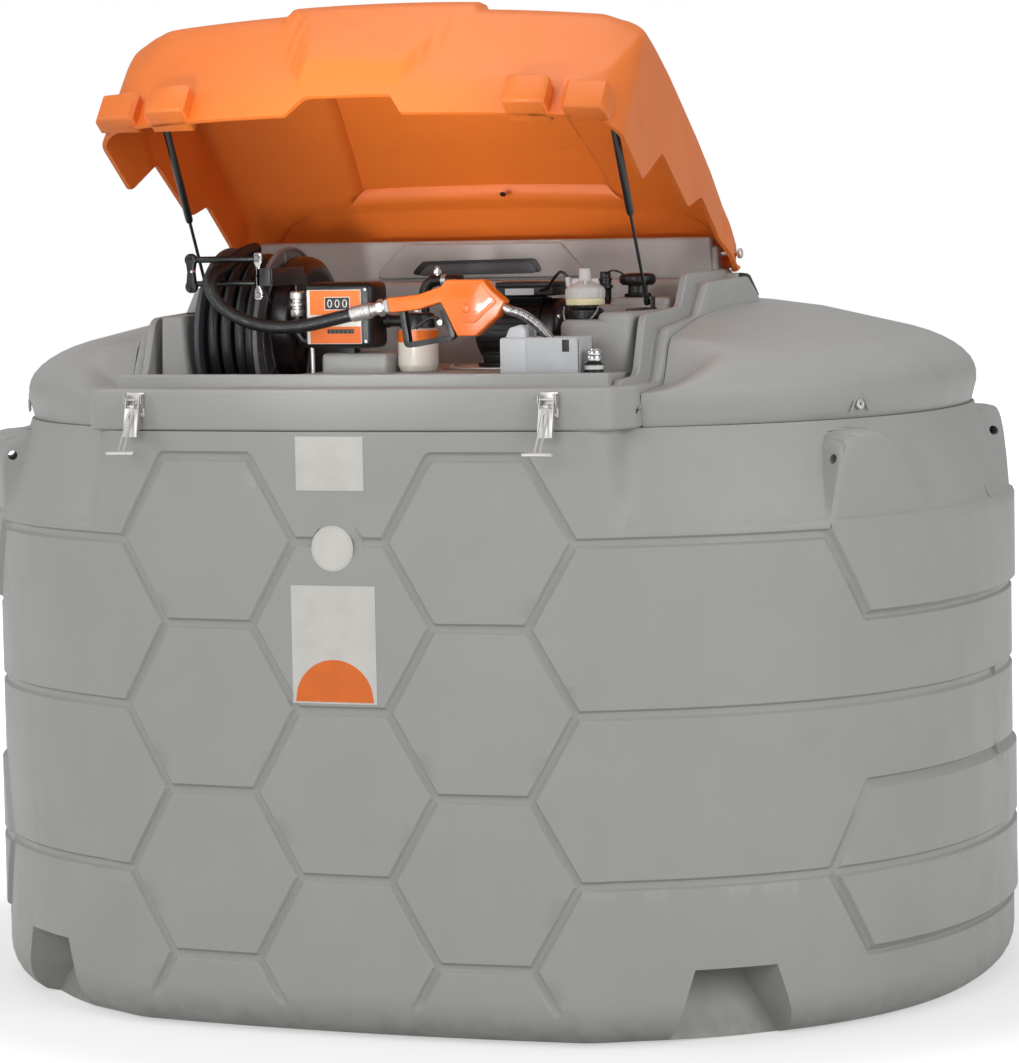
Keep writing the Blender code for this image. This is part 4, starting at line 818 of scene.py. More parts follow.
@dataclass
class OuterTank:
    """Double-walled tank's outer shell: hexagon panels between channels, ears and lifting recesses."""

    cell_side: float = 0.215
    cell_pitch: float = 0.3724
    top_row_z: float = 1.1
    channel_flat: float = 0.0055
    channel_half: float = 0.0125
    channel_depth: float = 0.0085
    foot_radius: float = 0.09
    foot_inset: float = 0.07
    shoulder_z: float = 1.13
    shoulder_step: float = 0.012
    top_lean: float = 0.085
    wall: float = 0.012
    pad_start: float = 1.119
    pad_raise: float = 0.009
    ear_top_z: float = 1.322
    ear_rounding: float = 0.016

    def __post_init__(self) -> None:
        """Measure the plan once."""
        self.points = PLAN.quarter(8, 6, 26)
        self.runs = [0.0]
        for a, b in zip(self.points, self.points[1:]):
            self.runs.append(self.runs[-1] + (b - a).length)
        self.side_run = self.runs[-1]
        self.normals = []
        for k in range(len(self.points)):
            if k in (0, len(self.points) - 1):
                self.normals.append(Vector((0, -1)) if k == 0 else Vector((1, 0)))
                continue
            along = (self.points[k + 1] - self.points[k - 1]).normalized()
            self.normals.append(Vector((along.y, -along.x)))
        self.lines = self.channels()

    def row(self, row: float) -> float:
        """Give the height of a row of panel corners, counted down from the top one."""
        return self.top_row_z - row * self.cell_pitch / 2

    def channels(self) -> list[tuple[Vector, Vector]]:
        """Give one quarter's channels as lines between (distance along the wall, height) points."""
        half, side = self.cell_side / 2, self.cell_side
        left, right, pad, end = half, half + 2 * side, self.pad_start, self.side_run
        lines = []
        for middle in (0, 2, 4):
            ring = [(left, middle), (side, middle - 1), (2 * side, middle - 1), (right, middle),
                (2 * side, middle + 1), (side, middle + 1)]
            lines += list(zip(ring, ring[1:] + ring[:1]))
        lines += [((0, 2), (left, 2)), ((0, 4), (left, 4)), ((0.06, 0), (left, 0)),
            ((side, 5), (side - half * 0.5, 5.5)), ((2 * side, 5), (2 * side + half * 0.5, 5.5)),
            ((right, 0), (pad, 0)), ((right, 2), (end, 2)), ((right, 4), (end, 4)),
            ((pad, 0), (pad + half, 1)), ((pad + half, 1), (end, 1)), ((pad, 4), (pad + half, 3)),
            ((pad + half, 3), (end, 3)), ((pad, 4), (pad + half, 5)), ((pad + half, 5), (end, 5))]
        return [(Vector((a[0], self.row(a[1]))), Vector((b[0], self.row(b[1])))) for a, b in lines]

    def ear(self) -> list[Vector]:
        """Give the corners of the lifting ear: low left, top left, top right, low right."""
        return [Vector((self.pad_start, self.row(0))), Vector((self.pad_start + 0.052, self.ear_top_z)),
            Vector((self.pad_start + 0.2, self.ear_top_z)), Vector((self.pad_start + 0.338, self.shoulder_z))]

    def ear_depth(self, spot: Vector) -> float:
        """Give how far a wall position lies inside the ear's outline, its corners rounded."""
        corners = self.ear()
        depths = []
        for a, b in zip(corners, corners[1:]):
            along = (b - a).normalized()
            depths.append((spot - a).dot(Vector((along.y, -along.x))))
        softness = 0.02
        total = sum(math.exp(-max(min(d, 2.0), -2.0) / softness) for d in depths)
        return -softness * math.log(total)

    def pad_depth(self, spot: Vector) -> float:
        """Give how far a wall position lies inside one of the raised side pads."""
        slope = self.cell_side / self.cell_pitch
        upper = min(spot.y - self.row(1), spot.x - self.pad_start - (self.row(0) - spot.y) * slope)
        lower = min(spot.y - self.row(5), self.row(3) - spot.y, spot.x - self.pad_start
            - abs(self.row(4) - spot.y) * slope)
        return max(upper if spot.y < self.row(0) + 0.03 else -1.0, lower)

    def inset(self, spot: Vector) -> float:
        """Give how far the surface lies inside the plan.

        Args:
            spot: Distance along the wall, and height.

        Returns:
            The inset in metres.
        """
        run, height = spot
        inset = 0.0
        if height < self.foot_radius:
            share = (self.foot_radius - height) / self.foot_radius
            inset += self.foot_inset * (1 - math.sqrt(max(0.0, 1 - share * share)))
        if height > self.shoulder_z - 0.02:
            lean = (height - self.shoulder_z) / (SPLIT_Z - self.shoulder_z)
            back = self.shoulder_step * smooth_step(self.shoulder_z - 0.004, self.shoulder_z + 0.006, height)
            back += (self.top_lean - self.shoulder_step) * max(0.0, lean)
            depth = self.ear_depth(spot)
            outside = 1 - smooth_step(-0.004, 0.003, depth)
            inset += back * smooth_step(0.618, 0.668, run) * outside
            edge = min(max(self.ear_rounding - depth, 0.0), self.ear_rounding) / self.ear_rounding
            rounding = self.ear_rounding * 0.7 * (1 - math.sqrt(1 - edge * edge)) * (1 - outside)
            inset += rounding * smooth_step(self.row(0) + 0.005, self.row(0) + 0.06, height)
        inset -= self.pad_raise * smooth_step(-0.004, 0.01, self.pad_depth(spot))
        near = min(self.distance(spot, line) for line in self.lines)
        cut = 1 - smooth_step(self.channel_flat, self.channel_half, near)
        return inset + self.channel_depth * cut * smooth_step(0.05, 0.105, height)

    @staticmethod
    def distance(spot: Vector, line: tuple[Vector, Vector]) -> float:
        """Give a wall position's distance from a line."""
        a, b = line
        along = b - a
        t = min(max((spot - a).dot(along) / along.dot(along), 0.0), 1.0)
        return (spot - a - along * t).length

    def wall_point(self, run: float, inset: float) -> Vector:
        """Give the plan position at a distance along the wall, moved in by an inset."""
        run = min(max(run, 0.0), self.side_run)
        k = min(bisect_right(self.runs, run + 1e-9) - 1, len(self.points) - 2)
        t = (run - self.runs[k]) / (self.runs[k + 1] - self.runs[k])
        normal = self.normals[k].lerp(self.normals[k + 1], t).normalized()
        return self.points[k].lerp(self.points[k + 1], t) - normal * inset

    def quarter_net(self) -> bmesh.types.BMesh:
        """Mesh one quarter of the wall flat, with lines along every channel and ear, and bend it."""
        points: list[Vector] = []
        edges: list[tuple[int, int]] = []

        def lay(a: Vector, b: Vector, step: float) -> None:
            """Lay a line of short edges."""
            count = max(1, round((b - a).length / step))
            first = len(points)
            points.extend(a.lerp(b, k / count) for k in range(count + 1))
            edges.extend((first + k, first + k + 1) for k in range(count))

        end = self.side_run
        corners = [Vector(p) for p in ((0, 0), (end, 0), (end, SPLIT_Z), (0, SPLIT_Z))]
        for a, b in zip(corners, corners[1:] + corners[:1]):
            lay(a, b, 0.035)
        ear = self.ear()
        soft = [(a, b, (-0.0125, -0.0095, -0.007, -0.004, 0.004, 0.007, 0.0095, 0.0125)) for a,
            b in self.lines]
        soft += [(a, b, (-0.004, 0.0, 0.003, 0.007, 0.012, 0.018)) for a, b in zip(ear, ear[1:])]
        soft.append((ear[-1], Vector((end, self.shoulder_z)), (-0.004, 0.001, 0.006)))
        soft.append((Vector((0.66, self.shoulder_z)), Vector((end, self.shoulder_z)), (-0.004, 0.001, 0.006)))
        for a, b, offsets in soft:
            along = (b - a).normalized()
            aside = Vector((along.y, -along.x))
            for offset in offsets:
                low, high = a + aside * offset, b + aside * offset
                if min(low.x, high.x) < 0 or max(low.x, high.x) > end or max(low.y, high.y) > SPLIT_Z:
                    low.x, high.x = min(max(low.x, 0.0), end), min(max(high.x, 0.0), end)
                    low.y, high.y = min(low.y, SPLIT_Z), min(high.y, SPLIT_Z)
                lay(low, high, 0.03)
        for height in (0.006, 0.015, 0.028, 0.045, 0.065, 0.09):
            lay(Vector((0, height)), Vector((end, height)), 0.035)
        for i in range(1, int(end / 0.038)):
            for j in range(3, int(SPLIT_Z / 0.038)):
                points.append(Vector((i * 0.038 + (j % 2) * 0.019, j * 0.038)))
        verts, _, faces, _, _, _ = delaunay_2d_cdt(points, edges, [], 1, 2e-4)
        bm = bmesh.new()
        made = []
        for v in verts:
            spot = self.wall_point(v.x, self.inset(v))
            made.append(bm.verts.new((0.0 if v.x < 1e-4 else spot.x, 0.0 if v.x > end - 1e-4 else spot.y,
                v.y)))
        for face in faces:
            bm.faces.new([made[i] for i in face])
        return bm

    def form(self) -> bmesh.types.BMesh:
        """Mirror the quarter to the whole wall and close it above and below."""
        bm = self.quarter_net()
        for mirror in (Vector((-1, 1, 1)), Vector((1, -1, 1))):
            copy = bmesh.ops.duplicate(bm, geom=bm.verts[:] + bm.edges[:] + bm.faces[:])
            for item in copy["geom"]:
                if isinstance(item, bmesh.types.BMVert):
                    item.co = item.co * mirror
            bmesh.ops.reverse_faces(bm, faces=[i for i in copy["geom"] if isinstance(i, bmesh.types.BMFace)])
            bmesh.ops.remove_doubles(bm, verts=bm.verts, dist=0.00002)
        rims = [edge for edge in bm.edges if len(edge.link_faces) == 1]
        bmesh.ops.holes_fill(bm, edges=rims, sides=0)
        bmesh.ops.triangulate(bm, faces=[face for face in bm.faces if len(face.verts) > 4])
        bmesh.ops.recalc_face_normals(bm, faces=bm.faces)
        bmesh.ops.translate(bm, vec=(0, PLAN_MIDDLE_Y, 0), verts=bm.verts)
        return bm

    def recess(self, extra: float) -> Shaper:
        """Gather the four lifting recesses: flat ceilings and sloped back walls."""
        cutter = Shaper("recess_cutter")
        top, low = 0.165 + extra, -0.05
        for angle in (45, 135, 225, 315):
            rings = []
            for reach in (1.3, None):
                ring = []
                for height, width in ((low, 0.33), (top, 0.185)):
                    back = 1.045 + (0.165 - min(height, 0.165)) * (1.115 - 1.045) / 0.165 - extra
                    out = back if reach is None else reach
                    half = width / 2 + (out - 1.169) * 0.25 + extra
                    pair = [(out, -half, height), (out, half, height)]
                    ring += pair if height == low else pair[::-1]
                rings.append(ring)
            turn = spun((0, PLAN_MIDDLE_Y, 0), angle, Axis.Z)
            cutter.rings(rings, TANK_POLYETHYLENE, turn=turn)
        return cutter

    def ear_holes(self) -> Shaper:
        """Gather the lifting holes that run along the wall through the ears."""
        cutter = Shaper("ear_hole_cutter")
        share = (1.26 - self.row(0)) / (self.ear_top_z - self.row(0))
        ear = self.ear()
        start = self.wall_point(ear[0].lerp(ear[1], share).x, 0.027)
        end = self.wall_point(ear[3].lerp(ear[2], share).x, 0.027)
        for x in (-1, 1):
            for y in (-1, 1):
                a, b = (Vector((x * p.x, PLAN_MIDDLE_Y - y * p.y, 1.26)) for p in (start, end))
                over = (b - a).normalized() * 0.06
                cutter.tube([a - over, b + over], 0.011, TANK_POLYETHYLENE, 20)
        return cutter

    def build(self) -> bpy.types.Object:
        """Make the shell: the panelled form less its cavity, recesses and lifting holes."""
        piece = Shaper("outer_tank_shell")
        piece.add(self.form(), TANK_POLYETHYLENE)
        shell = piece.finish(["outer_tank"], "grey_polyethylene", 38)
        depth = self.wall + 0.008
        cavity = Shaper("tank_cavity")
        levels = [(self.wall, self.foot_inset + depth), (0.045, 0.03 + depth), (0.1, depth), (1.1, depth),
            (SPLIT_Z - 0.06, self.top_lean + self.wall), (SPLIT_Z + 0.05, self.top_lean + self.wall)]
        cavity.rings([[(p.x, p.y, z) for p in PLAN.loop(i)] for z, i in levels], TANK_POLYETHYLENE)
        front = [(x, PLAN.face_y(x) + 0.015) for x in [0.5123 * k / 6 for k in range(-6, 7)]]
        front += [(0.603, -1.07), (0.603, -0.78), (-0.603, -0.78), (-0.603, -1.07)]
        block = Shaper("front_cavity")
        block.prism(front, 1.14, 1.382, TANK_POLYETHYLENE)
        tools = [cutter_object(cavity), cutter_object(block), cutter_object(self.recess(self.wall))]
        carve(tools[0], tools[1], Cut.UNION)
        carve(tools[0], tools[2], Cut.DIFFERENCE)
        for shaper in (self.recess(0.0), self.ear_holes()):
            tools.append(cutter_object(shaper))
            carve(shell, tools[-1], Cut.DIFFERENCE)
        carve(shell, tools[0], Cut.DIFFERENCE)
        for tool in tools:
            bpy.data.objects.remove(tool, do_unlink=True)
        shell.data.shade_smooth()
        shell.data.set_sharp_from_angle(angle=math.radians(38))
        return shell


def cutter_object(shaper: Shaper) -> bpy.types.Object:
    """Make a plain object for cutting.

    Args:
        shaper: Gathered shapes of the tool; its mesh is freed.

    Returns:
        The object.
    """
    mesh = bpy.data.meshes.new(shaper.name)
    bmesh.ops.recalc_face_normals(shaper.bm, faces=shaper.bm.faces)
    shaper.bm.to_mesh(mesh)
    shaper.bm.free()
    made = bpy.data.objects.new(shaper.name, mesh)
    bpy.context.scene.collection.objects.link(made)
    return made


def carve(target: bpy.types.Object, tool: bpy.types.Object, operation: Cut) -> None:
    """Apply a boolean to a target's mesh.

    Args:
        target: Object that is changed.
        tool: Object that cuts or joins.
        operation: What the boolean does.
    """
    change = target.modifiers.new("carve", "BOOLEAN")
    change.operation = operation.value
    change.solver = "EXACT"
    change.object = tool
    graph = bpy.context.evaluated_depsgraph_get()
    mesh = bpy.data.meshes.new_from_object(target.evaluated_get(graph))
    target.modifiers.remove(change)
    old = target.data
    target.data = mesh
    bpy.data.meshes.remove(old)


# Cover

def between(points: Sequence[tuple[float, float]], value: float) -> float:
    """Read a broken line.

    Args:
        points: Pairs of place and value, in order.
        value: Place to read at.

    Returns:
        The value there.
    """
    for (a, low), (b, high) in zip(points, points[1:]):
        if value <= b:
            t = min(max((value - a) / (b - a), 0.0), 1.0)
            return low + (high - low) * t
    return points[-1][1]


@dataclass
class TopCover:
    """Moulded cover: a dome with a rolled skirt, the pump bay's stepped side frames and the bulkhead."""

    cut_half: float = 0.648
    cut_rear_y: float = -0.1
    front_inset: float = 0.115

    def dome(self, piece: Shaper) -> None:
        """Add the dome, cut open where the frames stand."""
        levels = [(SPLIT_Z + 0.0008, 0.093), (SPLIT_Z + 0.004, 0.0905), (1.362, 0.0865), (1.39, 0.079),
            (1.415, 0.079), (1.43, 0.083), (1.447, 0.092), (1.466, 0.11), (1.481, 0.13), (1.495, 0.155),
            (1.508, 0.185), (1.52, 0.223), (1.534, 0.28), (1.552, 0.355), (1.571, 0.434), (1.588, 0.55),
            (1.601, 0.69), (1.609, 0.83), (1.612, 0.95), (1.613, 1.08)]
        fine = [levels[0], levels[1]]
        for (z0, i0), (z1, i1) in zip(levels[1:], levels[2:]):
            steps = 1 if i1 - i0 < 0.012 else 2 if i1 - i0 < 0.03 else 4
            fine += [(z0 + (z1 - z0) * k / steps, i0 + (i1 - i0) * k / steps) for k in range(1, steps + 1)]
        rings = [[self.settled(Vector((p.x, p.y, z))) for p in PLAN.loop(inset)] for z, inset in fine]
        bm = bmesh.new()
        made = [[bm.verts.new(point) for point in ring] for ring in rings]
        count = len(rings[0])
        for lower, upper in zip(made, made[1:]):
            for i in range(count):
                bm.faces.new((lower[i], lower[(i + 1) % count], upper[(i + 1) % count], upper[i]))
        bm.faces.new(made[-1])
        cut = self.cut_half
        for x in (-cut, cut):
            bmesh.ops.bisect_plane(bm, geom=bm.verts[:] + bm.edges[:] + bm.faces[:], plane_co=(x, 0, 0),
                plane_no=(1, 0, 0), dist=1e-5)
        bmesh.ops.bisect_plane(bm, geom=bm.verts[:] + bm.edges[:] + bm.faces[:],
            plane_co=(0, self.cut_rear_y, 0), plane_no=(0, 1, 0), dist=1e-5)
        bmesh.ops.triangulate(bm, faces=[face for face in bm.faces if len(face.verts) > 4])
        middles = [(face, face.calc_center_median()) for face in bm.faces]
        gone = [face for face, spot in middles if abs(spot.x) < cut and spot.y < self.cut_rear_y]
        bmesh.ops.delete(bm, geom=gone, context="FACES")
        edge = [e for e in bm.edges if len(e.link_faces) == 1 and all(abs(abs(v.co.x) - cut) < 1e-4
            and v.co.y < 0 for v in e.verts)]
        wall = bmesh.ops.extrude_edge_only(bm, edges=edge)["geom"]
        for vert in (item for item in wall if isinstance(item, bmesh.types.BMVert)):
            vert.co.x *= 0.645 / cut
            vert.co.z = min(vert.co.z, 1.385)
        bmesh.ops.recalc_face_normals(bm, faces=bm.faces)
        piece.add(bm, TANK_POLYETHYLENE)

    def settled(self, spot: Vector) -> Vector:
        """Lower the dome before the frames to a ledge, with a soft step up to the frame's shoulder.

        Args:
            spot: Place on the plain dome.

        Returns:
            The place on the moulded one.
        """
        share = 1 - smooth_step(0.665, 0.8, abs(spot.x))
        if share <= 0 or spot.y > -0.7 or spot.z < 1.4:
            return spot
        ledge = 1.415 + 0.08 * (spot.y + 1.0)
        rise = smooth_step(-0.83, -0.774, spot.y)
        target = ledge + (max(spot.z, ledge) - ledge) * rise
        return Vector((spot.x, spot.y, spot.z + (min(target, spot.z) - spot.z) * share))

    def frame_lines(self) -> tuple[list[tuple[float, float]], list[tuple[float, float]]]:
        """Give the side frame's inner and outer profiles in (y, z), rounded, with equal point counts."""
        inner = [(-1.01, 1.396), (-0.96, 1.424), (-0.85, 1.428), (-0.796, 1.56), (-0.548, 1.57),
            (-0.497, 1.643), (-0.172, 1.648), (-0.085, 1.6), (-0.08, 1.4)]
        outer = [(-1.01, 1.39), (-0.955, 1.42), (-0.83, 1.428), (-0.768, 1.543), (-0.545, 1.562),
            (-0.47, 1.636), (-0.172, 1.644), (-0.085, 1.598), (-0.08, 1.4)]
        return filleted(inner, 0.036, 8), filleted(outer, 0.045, 8)

    def frame(self, piece: Shaper, side: int) -> None:
        """Add one side frame: the rim beside the bay, a gutter, a rounded shoulder and the outer wall.

        Args:
            piece: The cover.
            side: -1 for the left frame, 1 for the right one.
        """
        inner, outer = self.frame_lines()
        section = [(0.585, -0.3, 0.0), (0.585, 0.016, 0.0), (0.5875, 0.0215, 0.0), (0.6, 0.0225, 0.0),
            (0.6035, 0.02, 0.0), (0.606, 0.004, 0.5), (0.6085, 0.0, 0.9), (0.6125, 0.0, 1.0),
            (0.618, 0.0015, 1.0), (0.621, 0.006, 1.0), (0.6255, 0.008, 1.0), (0.637, 0.008, 1.0),
            (0.642, 0.006, 1.0), (0.645, -0.004, 1.0), (0.6465, -0.016, 1.0), (0.649, -0.3, 1.0)]
        rows = []
        for (y0, z0), (y1, z1) in zip(inner, outer):
            row = []
            for x, rise, share in section:
                y, z = y0 + (y1 - y0) * share, z0 + (z1 - z0) * share
                if rise < -0.1:
                    row.append((side * x, y - (0.018 if x < 0.6 else 0.0), 1.3 if x < 0.6 else 1.385))
                    continue
                forward = 0.018 * max(rise, 0.0) / 0.028
                row.append((side * x, y - forward, z + rise))
            rows.append(row if side > 0 else row[::-1])
        piece.rings(rows, TANK_POLYETHYLENE, caps=False, loop=False)

    def front(self, piece: Shaper) -> None:
        """Add the front block with the ledge that the lid meets, and the rim before the bay."""
        across = [0.56 * k / 14 for k in range(-14, 15)]
        corner = filleted([(0.56, PLAN.face_y(0.56)), (0.618, PLAN.face_y(0.6) + 0.006), (0.645, -1.01),
            (0.645, -0.8)], 0.045, 7)
        outline = [(x, PLAN.face_y(x)) for x in across[:-1]] + corner
        outline += [(0.583, -0.8), (0.583, PLAN.face_y(0.585) + 0.115)]
        outline += [(x, PLAN.face_y(x) + self.front_inset) for x in reversed(across)]
        outline += [(-0.583, PLAN.face_y(0.585) + 0.115), (-0.583, -0.8)]
        outline += [(-x, y) for x, y in reversed(corner[1:])]
        piece.prism(outline, 1.3425, 1.4352, TANK_POLYETHYLENE, bevel=0.0085, segments=5)
        rim = [(x, PLAN.face_y(x) + 0.092) for x in [0.5865 * k / 16 for k in range(-16, 17)]]
        rim += [(x, PLAN.face_y(x) + 0.1152) for x in [0.5865 * k / 16 for k in range(16, -17, -1)]]
        piece.prism(rim, 1.42, 1.4632, TANK_POLYETHYLENE, bevel=0.0055, segments=4)

    def bulkhead(self, piece: Shaper) -> None:
        """Add the wall behind the bay with its raised relief, and the hinge blocks."""
        piece.box((-0.575, -0.2446, 1.56), (0.575, -0.196, 1.7448), TANK_POLYETHYLENE, 0.008, 4)
        relief = filleted([(-0.28, 1.655), (-0.192, 1.738), (0.205, 1.738), (0.278, 1.655)], 0.016, 5,
            closed=True)
        piece.prism(relief, -0.253, -0.24, TANK_POLYETHYLENE, Axis.Y, 0.005, 3)
        slot = filleted([(-0.18, 1.664), (-0.146, 1.697), (0.142, 1.701), (0.162, 1.668)], 0.016, 6,
            closed=True)
        piece.prism(slot, -0.2548, -0.25, BLACK_NYLON, Axis.Y, 0.001, 2)
        field = filleted([(-0.16, 1.662), (-0.132, 1.6885), (0.132, 1.6925), (0.148, 1.666)], 0.012, 6,
            closed=True)
        piece.prism(field, -0.256, -0.25, DARK_NYLON, Axis.Y, 0.001, 2)
        for side in (-1, 1):
            low, high = sorted((side * 0.53, side * 0.588))
            piece.box((low, -0.2346, 1.64), (high, -0.1925, 1.7236), TANK_POLYETHYLENE, 0.008, 4)
        roof = [[(x, y, z) for x in (-0.641, -0.45, -0.2, 0.0, 0.2, 0.45, 0.641)] for y,
            z in ((-0.2446, 1.5), (-0.2446, 1.65), (-0.24, 1.659), (-0.23, 1.6605), (-0.172, 1.6575),
            (-0.15, 1.652), (-0.1, 1.618), (-0.082, 1.604))]
        piece.rings([row[::-1] for row in roof], TANK_POLYETHYLENE, caps=False, loop=False)

    def screws(self, piece: Shaper) -> None:
        """Add the screws that hold the skirt, each in its shallow triangular recess."""
        for x, sign in ((1.03, 1), (1.03, -1)):
            for mirror in (-1, 1):
                scale = 1 - 0.079 / PLAN.half_width
                y = PLAN.flank(x / scale) * scale
                y2 = PLAN.flank((x + 0.02) / scale) * scale
                out = Vector((-(y - y2), -0.02, 0)).normalized()
                out = Vector((abs(out.x) * mirror, -abs(out.y) * sign, 0))
                spot = Vector((x * mirror, PLAN_MIDDLE_Y + y * sign, 1.374))
                face = Matrix.Translation(spot) @ (-out).to_track_quat("-Z", "Y").to_matrix().to_4x4()
                profile = [(0, -0.004), (0.0125, -0.004), (0.0125, 0.001), (0.0108, 0.003), (0.0072, 0.0036),
                    (0.0062, 0.0014), (0, 0.0014)]
                piece.turned(profile, (0, 0), ZINC_PLATE, sides=28, turn=face)
                piece.turned([(0, 0.0012), (0.003, 0.0012), (0.003, 0.002), (0, 0.0022)], (0, 0), BLACK_NYLON,
                    sides=6, turn=face)
                for a, b in (((-0.03, -0.016), (-0.006, 0.026)), ((0.03, -0.016), (0.006, 0.026))):
                    line = [face @ Vector((a[0] + (b[0] - a[0]) * k / 4, a[1] + (b[1] - a[1]) * k / 4,
                        -0.001)) for k in range(5)]
                    piece.tube(line, 0.0026, TANK_POLYETHYLENE, 8)

    def build(self) -> bpy.types.Object:
        """Make the cover."""
        piece = Shaper("moulded_cover")
        self.dome(piece)
        self.frame(piece, -1)
        self.frame(piece, 1)
        self.front(piece)
        self.bulkhead(piece)
        self.screws(piece)
        return piece.finish(["top_cover"], "grey_polyethylene", 40)


@dataclass
class DeckRelief:
    """Inner tank's moulded top: the bay's floor and the rounded blocks that carry fittings."""

    deck_z: float = 1.458
    base_z: float = 1.2704

    def build(self) -> bpy.types.Object:
        """Make the relief on its plate."""
        piece = Shaper("moulded_deck")
        grey = TANK_POLYETHYLENE
        plate = [(p.x, p.y) for p in PLAN.loop(0.132)]
        piece.prism(plate, self.base_z, self.base_z + 0.0248, grey, bevel=0.004)
        low = 1.285
        deck = [(x, PLAN.face_y(x) + 0.128) for x in [-0.186 + 0.755 * k / 16 for k in range(17)]]
        deck += [(0.569, -0.262), (-0.186, -0.262)]
        piece.prism(deck, low, self.deck_z, grey, bevel=0.005, segments=3)
        piece.box((-0.571, -0.3448, low), (0.571, -0.2628, 1.6498), grey, 0.014, 4)
        side = [(0.404, -0.69), (0.404, -0.834), (0.5738, -0.834), (0.5738, -0.69)]
        piece.prism(filleted(side, 0.034, 7, closed=True), low, 1.572, grey, bevel=0.016, segments=5)
        tall = [(0.49, -0.311), (0.49, -0.832), (0.5736, -0.832), (0.5736, -0.311)]
        piece.prism(filleted(tall, 0.036, 7, closed=True), low, 1.588, grey, bevel=0.016, segments=5)
        piece.box((0.379, -0.559, low), (0.5712, -0.301, 1.598), grey, 0.014, 4)
        piece.box((0.426, -0.549, low), (0.5708, -0.311, 1.612), grey, 0.014, 4)
        piece.prism([(-0.5738, low), (-0.4895, low), (-0.508, 1.588), (-0.564, 1.588)], -0.834, -0.311, grey,
            Axis.Y, 0.012, 4)
        piece.box((-0.15, -0.872, low), (0.012, -0.762, 1.503), grey, 0.012, 4)
        return piece.finish(["inner_tank_top"], "grey_polyethylene", 40)


# Lid

HINGE = Vector((0.0, -0.21, 1.705))
LID_OPEN_DEG = 37.3


def opened() -> Matrix:
    """Give the turn that takes a shape from the shut lid to the open one."""
    turn = Matrix.Rotation(-math.radians(LID_OPEN_DEG), 4, "X")
    return Matrix.Translation(HINGE) @ turn @ Matrix.Translation(-HINGE)


